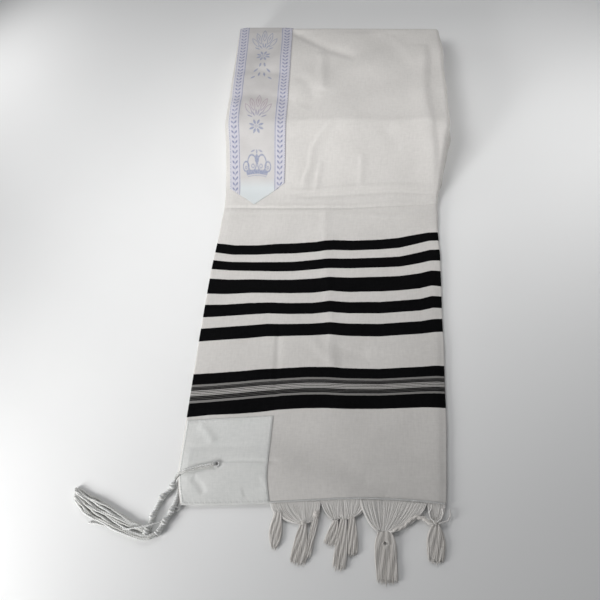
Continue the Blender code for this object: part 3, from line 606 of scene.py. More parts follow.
for n, (right, far, left) in enumerate(LAYERS):
    reach = np.where(at_right & at_far, (r - (right + far) / 2) * 0.9,
                     np.where(at_right, r - right, np.where(at_far, r - far, -left)))
    reach = reach + 0.0006 * np.sin(9 * seat + 2.3 * n) + 0.0004 * np.sin(23 * seat - 1.7 * n)
    lobes = np.where(at_left & ~at_far, 2, 1)
    for t in np.linspace(0, 1, LAYER_STEPS)[(1 if n else 0):]:
        bulge = np.abs(np.sin(np.pi * lobes * t)) ** 0.6
        depth = GROOVE * np.where(lobes == 2, 0.8, 1.0)
        tilt = 0.10 * np.sin(5 * seat + 1.9 * n) * np.sin(np.pi * t)
        z = under * (1 - (n + np.clip(t + tilt, 0, 1)) / len(LAYERS))
        profile.append(((reach - depth * (1 - bulge)) * b, np.maximum(z, 0.0)))
wall = np.stack([base + way * out[:, None] * (1, 1, 0) + (0, 0, 1) * (z - base[:, 2])[:, None]
                 for out, z in profile[1:]], 1)
wall[:, -1, 2] = 0.0

# The sole is the upper face again, flat on the table. Points that no face uses come out.
depth = wall.shape[1]
first = cap[..., 0].size
below = first + np.arange(len(ring))[:, None] * depth + np.arange(depth)
column = np.concatenate([ring[:, None], below], 1)
sides = cells(np.concatenate([column, column[:1]]))[..., [3, 0, 1, 2]].reshape(-1, 4)
foot = cap * (1, 1, 0)
foot_index = first + wall[..., 0].size + index
foot_index.reshape(-1)[ring] = column[:, -1]
caps = cells(index).reshape(-1, 4)
soles = cells(foot_index)[..., [0, 3, 2, 1]].reshape(-1, 4)
points = np.concatenate([cap.reshape(-1, 3), wall.reshape(-1, 3), foot.reshape(-1, 3)])
used = np.zeros(len(points), bool)
for faces in (caps, sides, soles):
    used[faces] = True
renumber = np.cumsum(used) - 1
run = np.linspace(0, 1.9, len(ring))
flat_map = np.concatenate([np.stack([p.ravel() * CLOTH_WIDTH, q.ravel()], -1),
                           np.stack([np.repeat(run, depth), wall[..., 2].ravel() * 1.5], -1),
                           np.stack([p.ravel() * CLOTH_WIDTH, q.ravel()], -1)])
layers = piece("folded_layers", points[used], [renumber[f] for f in (caps, sides, soles)], layer_mat,
               flat_map[used])
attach(layers, "root")
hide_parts("cloth_hidden_layers")


# Neckband (atarah)
# A ribbon of silvery satin brocade with pale lilac figures, cut to a point at its near end
# and sewn to the upper ply along the neck edge. The figures are generic ones of its trade:
# leaf borders, an eight-petalled flower, leaf sprays and a plain crown of its own drawing.
SEWN, BAND_PLY = 0.0002, 0.0006                         # gap under it, and its thickness
BAND_SUNK, FLOAT_HEIGHT = 0.0003, 0.00008               # how its edge sinks, how figures stand up
BAND_START, BAND_END = (0.023, 0.300), (0.003, 0.292)   # shares of the cloth's width
BAND_LEFT, BAND_TIP, BAND_RIGHT = 0.053, 0.030, 0.060   # rows where its near edge lies
BAND_WIDTH, TIP_SHARE = 0.0870, 0.47                    # and the share of its width at the tip
INNER_LINES, OUTER_LINES = (0.185, 0.820), (0.018, 0.985)
DASH, DASH_PITCH = 0.0036, 0.0046                       # of the outer lines, which are broken
LEAF_BORDERS, LEAF_PITCH = (0.103, 0.903), 0.0073
FLOWER_ROW, REPEAT = 0.1401, 0.1487                     # the first flower, and on to the next
CROWN_ROW = 0.0690                                      # foot of the crown
BLUSH_ROW = 0.187                                       # where the figures' wefts turn pinkish
EDGE_BLUR = 0.0006


def edge(depth):
    """0 outside a figure and 1 inside it, over a blurred edge of one thread or two."""
    return np.clip(depth / EDGE_BLUR + 0.5, 0, 1)


def almond(x, y, at, degrees, length, width):
    """How deep a point lies in a pointed leaf: half its width, which falls off as one minus
    the square of the place along it, less the distance from its midline."""
    c, s = np.cos(np.radians(degrees)), np.sin(np.radians(degrees))
    along = ((x - at[0]) * c + (y - at[1]) * s) / (length / 2)
    off = -(x - at[0]) * s + (y - at[1]) * c
    return width / 2 * (1 - along**2) - np.abs(off)


def outline(depth, line):
    """How deep a point lies in a line of that width drawn round a figure's own edge."""
    return line / 2 - np.abs(depth)


def ring_of(x, y, at, radii, line):
    """How deep a point lies in an oval line: half the line, less the distance from it."""
    rho = np.hypot((x - at[0]) / radii[0], (y - at[1]) / radii[1])
    return line / 2 - np.abs(rho - 1) * (radii[0] + radii[1]) / 2


def crown(x, y):
    """A bowed rim, two pairs of open arches, a side curl each and a middle leaf."""
    x = np.abs(x)
    flare = 0.0152 + 0.28 * (y - CROWN_ROW)
    rim = np.minimum(0.0029 - np.abs(y - CROWN_ROW - 0.0065 + 9.0 * x**2), flare - x)
    line = np.minimum(0.0004 - np.abs(y - CROWN_ROW - 0.0016 + 9.0 * x**2), flare - 0.0006 - x)
    above = y - CROWN_ROW - 0.0088 + 9.0 * x**2
    arches = np.maximum(ring_of(x, y, (0.0076, CROWN_ROW + 0.0180), (0.0066, 0.0112), 0.0020),
                        ring_of(x, y, (0.0168, CROWN_ROW + 0.0132), (0.0044, 0.0066), 0.0019))
    curls = np.maximum(ring_of(x, y, (0.0062, CROWN_ROW + 0.0140), (0.0021, 0.0025), 0.0012),
                       ring_of(x, y, (0.0168, CROWN_ROW + 0.0118), (0.0013, 0.0017), 0.0011))
    middle = almond(x, y, (0, CROWN_ROW + 0.0235), 90, 0.0150, 0.0066)
    tips = np.maximum(almond(x, y, (0.0058, CROWN_ROW + 0.0345), 155, 0.0080, 0.0022),
                      almond(x, y, (0, CROWN_ROW + 0.0338), 90, 0.0060, 0.0024))
    return np.maximum(np.maximum(rim, line), np.minimum(np.max([arches, curls, middle, tips], 0), above))


def flower(x, y, row):
    """Eight almond petals round an open middle with a small ring."""
    petals = [almond(x, y, (0.0074 * np.cos(a), row + 0.0074 * np.sin(a)), np.degrees(a), 0.0090, 0.0036)
              for a in np.arange(8) * np.pi / 4 + np.pi / 8]
    return np.max(petals + [ring_of(x, y, (0, row), (0.0016, 0.0016), 0.0009)], 0)


def spray(x, y, row):
    """Leaves fanned from one stem: large ones drawn as outlines, small ones filled. Each has
    its angle from the stem, its middle's distance, how much of the angle it leans, length
    and width; one at an angle has its like on the other side."""
    def leaves(table):
        for a, far, lean, long, wide in table:
            for angle in sorted({-a, a}):
                t = np.radians(angle)
                yield almond(x, y, (far * np.sin(t), row + far * np.cos(t)), 90 - angle * lean, long, wide)

    large = [outline(leaf, 0.0011) for leaf in leaves([
        (0, 0.0360, 1.0, 0.0260, 0.0070), (17, 0.0300, 0.9, 0.0270, 0.0066),
        (36, 0.0240, 0.8, 0.0230, 0.0062)])]
    small = leaves([
        (8, 0.0130, 1.0, 0.0130, 0.0022), (30, 0.0110, 1.0, 0.0110, 0.0022),
        (62, 0.0120, 1.0, 0.0100, 0.0024),
        (0, 0.0360, 1.0, 0.0150, 0.0016), (17, 0.0300, 1.0, 0.0130, 0.0014)])
    return np.max([*large, *small], 0)


def pendant(x, y, row):
    """The few leaves that hang below a flower."""
    return np.max([almond(x, y, (s * a, row - d), 90 + s * lean, long, 0.0030)
                   for s in (-1, 1)
                   for a, d, lean, long in ((0.0035, 0.0210, 12, 0.0095), (0.0100, 0.0330, 38, 0.0110),
                                            (0.0040, 0.0420, 10, 0.0100), (0.0130, 0.0500, 50, 0.0090))], 0)


def band_figures(share, row):
    """Depth of all the figures at a place on the ribbon, as share of its width and row."""
    x = (share - 0.5) * BAND_WIDTH
    middle = x + 0.0002
    borders = []
    for at in LEAF_BORDERS:
        a = x - (at - 0.5) * BAND_WIDTH
        b = (row + LEAF_PITCH / 2) % LEAF_PITCH - LEAF_PITCH / 2
        for step in (-LEAF_PITCH, 0, LEAF_PITCH):
            borders += [almond(np.abs(a), b, (0.0026, step + 0.0010), 56, 0.0058, 0.0025),
                        almond(a, b, (0, step - 0.0012), 90, 0.0040, 0.0011)]
    lines = [0.00050 - np.abs(x - (at - 0.5) * BAND_WIDTH) for at in INNER_LINES]
    dash = np.where(row % DASH_PITCH < DASH, 0.00042, -0.001)
    lines += [np.minimum(0.00042 - np.abs(x - (at - 0.5) * BAND_WIDTH), dash) for at in OUTER_LINES]
    panel = [crown(middle, row)]
    for at in (FLOWER_ROW, FLOWER_ROW + REPEAT):
        panel += [flower(middle, row, at), spray(middle, row, at + 0.012)]
    panel += [pendant(middle, row, FLOWER_ROW + REPEAT)]
    return np.max(borders + lines + panel, 0)


# Satin floats throw back more light than the figures' matt wefts; the ribs are its picks,
# drawn 1.1 mm apart because the real 0.3 mm wouldn't show.
RIB_PITCH, RIB_RELIEF = 0.0011, 0.00005
BAND_CLOUD, BAND_GRAIN = 1 / 30, 1 / 420        # sizes in metres
# The plain end below the crown is a little paler, as bare satin, and tinted pale blue as a painted gloss.
SILVER, WORN_SILVER, BORDER_SILVER, PALE_SATIN_AND_BLUE_GLOSS = "#cfccca", "#c3c0be", "#c8c6ce", "#d1d6d7"
LILAC, BORDER_LILAC, BLUSH = "#8f95ad", "#7c82a2", "#ae98a4"
SATIN_ROUGHNESS, WEFT_ROUGHNESS = 0.36, 0.62
brocade_mat, shader = start_material("silvery satin brocade ribbon", 0.42, Sheen_Weight=0.1,
                                     Sheen_Roughness=0.4, Specular_IOR_Level=0.45)
cut = add(brocade_mat, "UVMap", uv_map="cut")
place = add(brocade_mat, "SeparateXYZ", {"Vector": cut.outputs["UV"]})
figure, plain, blush, border = (add(brocade_mat, "Attribute", attribute_name=name).outputs["Fac"]
                                for name in ("figure", "plain end", "blush", "border"))
cloudy = add(brocade_mat, "TexNoise", {"Vector": cut.outputs["UV"], "Scale": 1 / BAND_CLOUD, "Detail": 3.0})
grain = add(brocade_mat, "TexNoise", {"Vector": cut.outputs["UV"], "Scale": 1 / BAND_GRAIN, "Detail": 3.0})
worn_by = add(brocade_mat, "MapRange", {"Value": cloudy.outputs["Fac"], "From Min": 0.3, "From Max": 0.7})
silver = [(worn_by.outputs[0], SILVER), (border, BORDER_SILVER), (plain, PALE_SATIN_AND_BLUE_GLOSS)]
tinted = []
for start, tints in ((WORN_SILVER, silver), (LILAC, [(border, BORDER_LILAC), (blush, BLUSH)])):
    colour = (*linear(start), 1)
    for share, tint in tints:
        colour = add(brocade_mat, "Mix", {0: share, 6: colour, 7: (*linear(tint), 1)},
                     data_type="RGBA").outputs[2]
    tinted.append(colour)
speck = add(brocade_mat, "MapRange", {"Value": grain.outputs["Fac"], "From Min": 0.25, "From Max": 0.6,
                                      "To Min": 0.55})
shown = add(brocade_mat, "Math", {0: figure, 1: speck.outputs[0]}, operation="MULTIPLY")
colour = add(brocade_mat, "Mix", {0: shown.outputs[0], 6: tinted[0], 7: tinted[1]}, data_type="RGBA")
brocade_mat.node_tree.links.new(colour.outputs[2], shader.inputs["Base Color"])
dull = add(brocade_mat, "MapRange", {"Value": figure, "To Min": SATIN_ROUGHNESS, "To Max": WEFT_ROUGHNESS})
brocade_mat.node_tree.links.new(dull.outputs[0], shader.inputs["Roughness"])
turns = add(brocade_mat, "Math", {0: place.outputs["Y"], 1: 2 * np.pi / RIB_PITCH}, operation="MULTIPLY")
ribs = add(brocade_mat, "Math", {0: turns.outputs[0]}, operation="SINE")
relief = add(brocade_mat, "Math", {0: grain.outputs["Fac"], 1: 1.5}, operation="MULTIPLY")
relief = add(brocade_mat, "Math", {0: relief.outputs[0], 1: ribs.outputs[0]}, operation="ADD")
bump = add(brocade_mat, "Bump", {"Height": relief.outputs[0], "Distance": RIB_RELIEF, "Strength": 0.8})
brocade_mat.node_tree.links.new(bump.outputs["Normal"], shader.inputs["Normal"])


def on_band(share, q):
    """The cloth's own share of width under a place on the ribbon, which narrows and leans
    towards the long edge on its way to the far fold."""
    reach = np.clip((q - BAND_LEFT) / (FAR - BAND_LEFT), 0, 1)
    return ((BAND_START[0] + (BAND_END[0] - BAND_START[0]) * reach) * (1 - share)
            + (BAND_START[1] + (BAND_END[1] - BAND_START[1]) * reach) * share)


def near_edge(share):
    """Row of the ribbon's near edge, two straight cuts that meet in the tip."""
    return np.interp(share, [0, TIP_SHARE, 1], [BAND_LEFT, BAND_TIP, BAND_RIGHT])


BAND_COLUMNS, BAND_LINES, BAND_ROUND = 129, 445, 12
share, t = np.meshgrid(np.linspace(0, 1, BAND_COLUMNS), np.linspace(0, 1, BAND_LINES))
q = near_edge(share) + (FAR - near_edge(share)) * t
share = np.concatenate([share, np.repeat(share[:1], BAND_ROUND, 0)])
round_steps = np.arange(1, BAND_ROUND + 1)[:, None] / BAND_ROUND
q = np.concatenate([q, np.repeat(FAR + round_steps, BAND_COLUMNS, 1)])
p, y = on_band(share, q), np.minimum(q, FAR)
row = y + (q - y) * fold_wrap(y) * fold_radius(y)
figure = edge(band_figures(share, row))
margin = np.minimum(np.minimum(share, 1 - share) * BAND_WIDTH, q - near_edge(share))
raised = folds(p, q) + SEWN
band_top = raised + BAND_PLY - BAND_SUNK * np.exp(-np.maximum(margin, 0) / 0.0007) + FLOAT_HEIGHT * figure
in_panel = edge(np.minimum(share - INNER_LINES[0] - 0.01, INNER_LINES[1] - 0.01 - share) * BAND_WIDTH)
# Where the plain end's paler satin and painted blue gloss go: below the crown, inside the panel.
plain_end = np.clip((0.0675 - row) / 0.014, 0, 1) * in_panel
blush = np.exp(-((row - BLUSH_ROW) / 0.022) ** 2) * in_panel
values = {"figure": figure, "plain end": plain_end, "blush": blush, "border": 1 - in_panel}
band = closed_sheet("neckband_brocade", cloth(p, q, band_top), cloth(p, q, raised)[::4, ::4], 4,
                    brocade_mat, np.stack([(share - 0.5) * BAND_WIDTH, row], -1), values=values)
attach(band, "root")
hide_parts("neckband")


# Its stitching
# A line of white polyester lockstitch just inside the ribbon's edge, sunk a little in it.
THREAD_WHITE, THREAD_GREY = "#e6e6e4", "#cfcfce"
STITCH_PITCH, STITCH_LENGTH, STITCH_RADIUS = 0.0034, 0.0026, 0.00038
SIDE_SHARES, SIDE_START = (0.012, 0.988), 0.0008        # the side seams, and where they start
CUT_SHARES, CUT_IN = (0.014, TIP_SHARE, 0.986), 0.0012  # the seams along the two cuts
ALONG_SEAM = 400            # places at which a seam's line is followed
THREAD_CLOUD = 0.01 / 3     # size in metres
# Polyester thread has a slight gloss and clouds a few millimetres long.
stitch_mat, shader = start_material("white polyester sewing thread", 0.5, Specular_IOR_Level=0.4)
cut = add(stitch_mat, "UVMap", uv_map="cut")
tone = add(stitch_mat, "TexNoise", {"Vector": cut.outputs["UV"], "Scale": 1 / THREAD_CLOUD, "Detail": 2.0})
colour = add(stitch_mat, "Mix", {0: tone.outputs["Fac"], 6: (*linear(THREAD_GREY), 1),
                                 7: (*linear(THREAD_WHITE), 1)}, data_type="RGBA")
stitch_mat.node_tree.links.new(colour.outputs[2], shader.inputs["Base Color"])
bump = add(stitch_mat, "Bump", {"Height": tone.outputs["Fac"], "Distance": 0.0001, "Strength": 0.6})
stitch_mat.node_tree.links.new(bump.outputs["Normal"], shader.inputs["Normal"])


def stitches(at, run, normal, length, thick):
    """Short bowed threads: at each place a tube along run, whose radius is the root of one
    minus the square of the place along it, lifted along the normal by the same curve."""
    t = np.linspace(-1, 1, 6)
    turn = np.arange(5) * 2 * np.pi / 5
    fat = thick * np.sqrt(np.maximum(1 - t**2, 0.04))
    aside = unit(np.cross(run, normal))
    line = (at[:, None] + run[:, None] * (t * length / 2)[:, None]
            + normal[:, None] * (thick * 0.6 * (1 - t**2))[:, None])
    rings = (line[:, :, None] + aside[:, None, None] * (fat[:, None] * np.cos(turn))[..., None]
             + normal[:, None, None] * (fat[:, None] * np.sin(turn))[..., None])
    return tube_faces(rings)


def tube_faces(rings):
    """Points and faces of tubes given as (tubes, rings, sides, 3), closed at both ends."""
    count, long, sides = rings.shape[:3]
    index = np.arange(count * long * sides).reshape(count, long, sides)
    after = np.roll(index, -1, 2)
    walls = np.stack([index[:, :-1], after[:, :-1], after[:, 1:], index[:, 1:]], -1).reshape(-1, 4)
    return rings.reshape(-1, 3), [walls[:, ::-1], index[:, 0], index[:, -1, ::-1]]


def seam(p, q, out, pitch):
    """Places, directions and normals of stitches one pitch apart along a line on the cloth."""
    line = cloth(p, q, folds(p, q) + out)
    lift = unit(cloth(p, q, folds(p, q) + out + 0.001) - line)
    far = distance_along(line)
    s = np.arange(pitch / 2, far[-1], pitch)
    at, normal = (np.stack([np.interp(s, far, v[:, k]) for k in range(3)], -1) for v in (line, lift))
    run = unit(np.gradient(at, axis=0))
    return at, run, unit(normal)


def sew(name, at, run, normal, length, thick):
    """One piece of all the stitches at the given places, mapped by their place from above."""
    points, faces = stitches(at, run, normal, length, thick)
    sewn = piece(name, points, faces, stitch_mat, points[:, :2] * 1.0)
    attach(sewn, "root")


t = np.linspace(0, 1, ALONG_SEAM)
level = SEWN + BAND_PLY - BAND_SUNK
band_seams = []
for share in SIDE_SHARES:
    start = near_edge(share) + SIDE_START
    q = start + (FAR - start) * t
    band_seams.append(seam(on_band(share, q), q, level, STITCH_PITCH))
for a, b in zip(CUT_SHARES[:-1], CUT_SHARES[1:]):
    share = a + (b - a) * t
    q = near_edge(share) + CUT_IN
    band_seams.append(seam(on_band(share, q), q, level, STITCH_PITCH))
sew("neckband_stitching", *map(np.concatenate, zip(*band_seams)), STITCH_LENGTH, STITCH_RADIUS)


# Corner patch
# A square of white cotton satin, its edges turned under and sewn down, that strengthens the
# corner round the eyelet. The eyelet is worked round with buttonhole stitches.
PATCH_SEWN, PATCH_PLY = 0.0002, 0.0005         # gap under it, and its thickness
PATCH_EDGE, EDGE_SLOPE = 0.00015, 0.0030       # its thickness at the edge, which grows inwards
PATCH_ACROSS, PATCH_LOW, PATCH_TOP = (0.004, 0.354), HEM - 0.0006, -0.2715
TOP_DROP = (0.0085, 0.0028)         # how far its upper edge runs below that row, left and right
TURNED_UNDER, TURN_HEIGHT = 0.0075, 0.0001     # the margin turned under, and how it stands up
PATCH_LINES = 117                   # of its grid, each way
NEAR_EYE = 0.006                    # rows above the eyelet that stay straight
PUCKER, PUCKER_AT = 0.00012, 0.0025             # small waves along the seam, and how far in
RUCK, RUCK_AT = 0.0004, 0.0050                  # ring drawn down round the eyelet, its radius
SATIN_WHITE, SATIN_WORN, SATIN_PITCH = "#e4e4e1", "#d8d9d6", 0.0010
# Satin is smoother than the plain weave beside it: a soft gloss, and finer threads.
patch_mat, shader = start_material("white cotton satin", 0.5, Sheen_Weight=0.1, Sheen_Roughness=0.4,
                                   Specular_IOR_Level=0.4)
woven(patch_mat, shader, SATIN_WHITE, SATIN_WORN, SATIN_PITCH, False)

# The margin turned under stands up a little; the edge itself slopes down to the cloth.
columns, i = through(np.linspace(*PATCH_ACROSS, PATCH_LINES), float(eye_u))
lines, j = through(np.linspace(PATCH_LOW, PATCH_TOP, PATCH_LINES), float(eye_q))
p, q = np.meshgrid(columns, lines)
above_eye = np.clip((q - eye_q - NEAR_EYE) / (PATCH_TOP - eye_q - NEAR_EYE), 0, 1)
q = q - np.interp(p, PATCH_ACROSS, TOP_DROP) * above_eye
raised = folds(p, q) + PATCH_SEWN
margin = np.minimum(np.minimum(p - p.min(), p.max() - p) * CLOTH_WIDTH,
                    np.minimum(q - q.min(), q[-1:] - q))
turned = (TURN_HEIGHT / (1 + np.exp((margin - TURNED_UNDER) / 0.0006))
          - (PATCH_PLY - PATCH_EDGE) * np.exp(-margin / EDGE_SLOPE))
pucker = (PUCKER * np.sin(p * CLOTH_WIDTH * 900 + q * 700)
          * np.exp(-((margin - PUCKER_AT) / 0.002) ** 2))
round_eye = np.hypot((p - eye_u) * CLOTH_WIDTH, q - eye_q)
ruck = -RUCK * np.exp(-((round_eye - RUCK_AT) / 0.0022) ** 2)
patch = closed_sheet("corner_satin", cloth(p, q, raised + PATCH_PLY + turned + pucker + ruck),
                     cloth(p, q, raised)[::2, ::2], 2, patch_mat, np.stack([p * CLOTH_WIDTH, q], -1),
                     hole=(j, i, EYELET_RADIUS))
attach(patch, "root")
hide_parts("corner_patch")

SEWN_IN = 0.0022            # how far inside the edge the patch is sewn down
HEM_PITCH, HEM_STITCH, HEM_THREAD = 0.0032, 0.0024, 0.00035
level = PATCH_SEWN + PATCH_PLY + 0.0001
at_seam = level - (PATCH_PLY - PATCH_EDGE) * np.exp(-SEWN_IN / EDGE_SLOPE)
a, b = PATCH_ACROSS[0] + SEWN_IN / CLOTH_WIDTH, PATCH_ACROSS[1] - SEWN_IN / CLOTH_WIDTH
low, high = PATCH_LOW + SEWN_IN, PATCH_TOP - SEWN_IN - np.array(TOP_DROP)
patch_seams = [seam(p0 + (p1 - p0) * t, q0 + (q1 - q0) * t, at_seam, HEM_PITCH)
               for p0, p1, q0, q1 in ((a, b, high[0], high[1]), (b, b, low, high[1]), (a, b, low, low),
                                      (a, a, low, high[0]))]
sew("patch_stitching", *map(np.concatenate, zip(*patch_seams)), HEM_STITCH, HEM_THREAD)

EYE_STITCHES, EYE_STITCH, EYE_THREAD = 26, 0.0028, 0.00042
turn = np.arange(EYE_STITCHES) * 2 * np.pi / EYE_STITCHES
spoke = np.stack([np.cos(turn), np.sin(turn), 0 * turn], -1)
eye_z = float(cloth(eye_u, eye_q, float(folds(np.array(eye_u), np.array(eye_q))) + level)[2]) + 0.0002
at = np.array([*EYELET, eye_z]) + spoke * (EYELET_RADIUS + 0.0010)
at[:, 2] -= 0.0001 * (np.arange(EYE_STITCHES) % 2)
sew("eyelet_stitches", at, spoke, np.tile([0.0, 0, 1], (EYE_STITCHES, 1)), EYE_STITCH, EYE_THREAD)


# Corner tassels (tzitzit)
# Four wool strings looped through the eyelet and doubled, wound and knotted along a cord,
# then left loose: sixteen two-ply yarns in all, in two bunches over each other.

# Points along each wound cord: x, y, z and radius. Where it is thickest it is knotted.
CORD_UPPER = np.array([
    (-0.1045, -0.3330, 0.0064, 0.0010), (-0.1075, -0.3340, 0.0072, 0.0014),
    (-0.1230, -0.3370, 0.0073, 0.0014), (-0.1400, -0.3413, 0.0073, 0.0014),
    (-0.1492, -0.3440, 0.0073, 0.0014), (-0.1528, -0.3485, 0.0052, 0.0014),
    (-0.1543, -0.3535, 0.0040, 0.0016), (-0.1549, -0.3558, 0.0038, 0.0038),
    (-0.1559, -0.3588, 0.0038, 0.0038), (-0.1568, -0.3602, 0.0028, 0.0025),
    (-0.1640, -0.3680, 0.0028, 0.0025), (-0.1650, -0.3692, 0.0038, 0.0038),
    (-0.1668, -0.3718, 0.0038, 0.0038), (-0.1676, -0.3732, 0.0028, 0.0025),
    (-0.1728, -0.3886, 0.0028, 0.0025), (-0.1732, -0.3900, 0.0038, 0.0038),
    (-0.1738, -0.3930, 0.0038, 0.0038), (-0.1742, -0.3945, 0.0030, 0.0026),
    (-0.1752, -0.4005, 0.0030, 0.0026), (-0.1762, -0.4040, 0.0036, 0.0036),
    (-0.1782, -0.4090, 0.0036, 0.0036), (-0.1795, -0.4110, 0.0030, 0.0026)])
CORD_LOWER = np.array([
    (-0.1487, -0.3610, 0.0022, 0.0014), (-0.1482, -0.3690, 0.0026, 0.0020),
    (-0.1492, -0.3760, 0.0028, 0.0026), (-0.1508, -0.3815, 0.0030, 0.0027),
    (-0.1514, -0.3835, 0.0038, 0.0038), (-0.1526, -0.3868, 0.0038, 0.0038),
    (-0.1536, -0.3885, 0.0028, 0.0025), (-0.1562, -0.3935, 0.0028, 0.0026),
    (-0.1570, -0.3950, 0.0038, 0.0038), (-0.1588, -0.3982, 0.0038, 0.0038),
    (-0.1600, -0.4005, 0.0030, 0.0028), (-0.1622, -0.4050, 0.0032, 0.0030),
    (-0.1640, -0.4085, 0.0036, 0.0035), (-0.1660, -0.4110, 0.0036, 0.0035)])
CORD_SHOWN, KNOTTED_FROM = 700, 0.0030      # places along a cord, and radius at which knots start
WINDING, KNOT_TURN = 0.0012, 0.0028         # one turn of the winding string, and of a knot's
UNWOUND = 6                                 # points of the upper cord still two loose strings
# The first string is drawn darker than the second, as painted shade; both are the same white wool.
LOOSE_STRINGS = ((-0.0011, 0.0011, 0.55), (0.0012, 0.0012, 1.0))    # shift, radius and tone
# The two edges of the loose strings where they lie together, from the knots to their ends.
BUNCH_EDGES = (
    [(-0.1976, -0.3985), (-0.2136, -0.3893), (-0.2368, -0.3786), (-0.2547, -0.3718), (-0.2775, -0.3612)],
    [(-0.1945, -0.4139), (-0.2205, -0.4063), (-0.2450, -0.3971), (-0.2600, -0.3885), (-0.2742, -0.3768)])
# Share of the way between them at which each tassel's strings lie, at the knots and farther
# on, and the places by which they get there.
BUNCHES = [((0.00, 0.34), (0.02, 0.54), [(-0.1880, -0.4030)]),
           ((0.62, 1.00), (0.46, 0.98), [(-0.1725, -0.4136), (-0.1830, -0.4138)])]
STRAY_END = [(-0.2130, -0.4060, 0.0022), (-0.2291, -0.4036, 0.0016), (-0.2400, -0.4012, 0.0012),
             (-0.2514, -0.4003, 0.0009)]
CROSSING_STRING = [(-0.2060, -0.4062, 0.0040), (-0.2003, -0.4066, 0.0058), (-0.1850, -0.4046, 0.0084),
                   (-0.1740, -0.4020, 0.0085), (-0.1622, -0.3982, 0.0062), (-0.1590, -0.3970, 0.0030)]
CURL = [(-0.1500, -0.3812, 0.0036), (-0.1466, -0.3806, 0.0032), (-0.1448, -0.3826, 0.0024),
        (-0.1456, -0.3850, 0.0018), (-0.1484, -0.3850, 0.0026)]
STRINGS, STRING_LAYERS = 8, (0.0015, 0.0034)        # loose yarns of a tassel, and their heights
STRING_RADIUS, SINGLE_RADIUS = 0.00125, 0.0010      # in the bunch, and of one that strays
PLY_TWIST = 0.0090          # one turn of the two plies, drawn coarse so that it shows
FIBRE_TURN, TWIST_RELIEF = 0.0060, 0.00012          # the fibres' turn, and how they stand up
TASSEL_WHITE, TASSEL_GREY = "#dfe0df", "#b9b8b2"


def yarn_material(name, white, grey, pitch, roughness):
    """Spun wool or cotton yarn: each strand has its own tone, with painted shade in the twist's
    valleys, and fibres that run round it at the twist's slant. The map runs round and along it."""
    mat, shader = start_material(name, roughness, Sheen_Weight=0.2, Sheen_Roughness=0.5,
                                 Specular_IOR_Level=0.3)
    cut = add(mat, "UVMap", uv_map="cut")
    place = add(mat, "SeparateXYZ", {"Vector": cut.outputs["UV"]})
    own = add(mat, "Attribute", attribute_name="tone")
    slant = add(mat, "Math", {0: place.outputs["Y"], 1: 1 / pitch}, operation="MULTIPLY")
    slant = add(mat, "Math", {0: slant.outputs[0], 1: place.outputs["X"]}, operation="ADD")
    turns = add(mat, "Math", {0: slant.outputs[0], 1: 4 * np.pi}, operation="MULTIPLY")
    fibre = add(mat, "Math", {0: turns.outputs[0]}, operation="SINE")
    # Painted shade: the colour falls towards the grey one in the twist's valleys.
    valley_shade = add(mat, "MapRange", {"Value": fibre.outputs[0], "From Min": -1.0, "To Min": 0.35})
    lit = add(mat, "Math", {0: valley_shade.outputs[0], 1: own.outputs["Fac"]}, operation="MULTIPLY")
    colour = add(mat, "Mix", {0: lit.outputs[0], 6: (*linear(grey), 1), 7: (*linear(white), 1)},
                 data_type="RGBA")
    mat.node_tree.links.new(colour.outputs[2], shader.inputs["Base Color"])
    bump = add(mat, "Bump", {"Height": fibre.outputs[0], "Distance": TWIST_RELIEF, "Strength": 0.7})
    mat.node_tree.links.new(bump.outputs["Normal"], shader.inputs["Normal"])
    return mat


def smooth_path(points, count):
    """A path through the given points: cumulative length against each column, rounded by
    averaging over a bell one sixtieth of the length wide, except at its very ends."""
    points = np.asarray(points, float)
    far = distance_along(points[:, :3])
    s = np.linspace(0, far[-1], count)
    raw = np.stack([np.interp(s, far, points[:, k]) for k in range(points.shape[1])], -1)
    bell = np.exp(-((s[:, None] - s[None]) / (far[-1] / 60)) ** 2)
    rounded = bell @ raw / bell.sum(1, keepdims=True)
    ends = np.clip(np.minimum(s, far[-1] - s) / (far[-1] / 30), 0, 1)[:, None]
    return raw + (rounded - raw) * ends, s


def tubes(paths, radius, sides, lobes=0, depth=0.0, turn=0.0, flat=1.0, tone=None):
    """Tubes of radius r about paths (n, m, 3): r times one plus depth times the cosine of
    lobes times (angle - turn), made flat times as wide sideways. Returns points, faces, the
    map round and along, and tones."""
    paths = np.asarray(paths, float)
    ahead = unit(np.gradient(paths, axis=1))
    side = unit(np.cross(ahead, (0.0, 0.0, 1.0)) + 1e-9)
    lift = np.cross(side, ahead)
    angle = np.arange(sides) * 2 * np.pi / sides
    r = np.broadcast_to(radius, paths.shape[:2])[..., None] * (
        1 + depth * np.cos(lobes * (angle - np.broadcast_to(turn, paths.shape[:2])[..., None])))
    rings = (paths[:, :, None] + side[:, :, None] * (r * np.cos(angle) * flat)[..., None]
             + lift[:, :, None] * (r * np.sin(angle))[..., None])
    points, faces = tube_faces(rings)
    along = distance_along(paths)[..., None]
    uv = np.stack(np.broadcast_arrays(angle / (2 * np.pi), along), -1).reshape(-1, 2)
    own = np.ones(len(paths)) if tone is None else tone
    own = np.broadcast_to(own[:, None, None], rings.shape[:3]).ravel()
    return points, faces, uv, own


def joined(parts):
    """One mesh's points, faces, map and tones from several tubes() results."""
    start, points, faces, uv, tone = 0, [], [], [], []
    for part in parts:
        points.append(part[0])
        faces += [f + start for f in part[1]]
        uv.append(part[2])
        tone.append(part[3])
        start += len(part[0])
    return np.concatenate(points), faces, np.concatenate(uv), {"tone": np.concatenate(tone)}


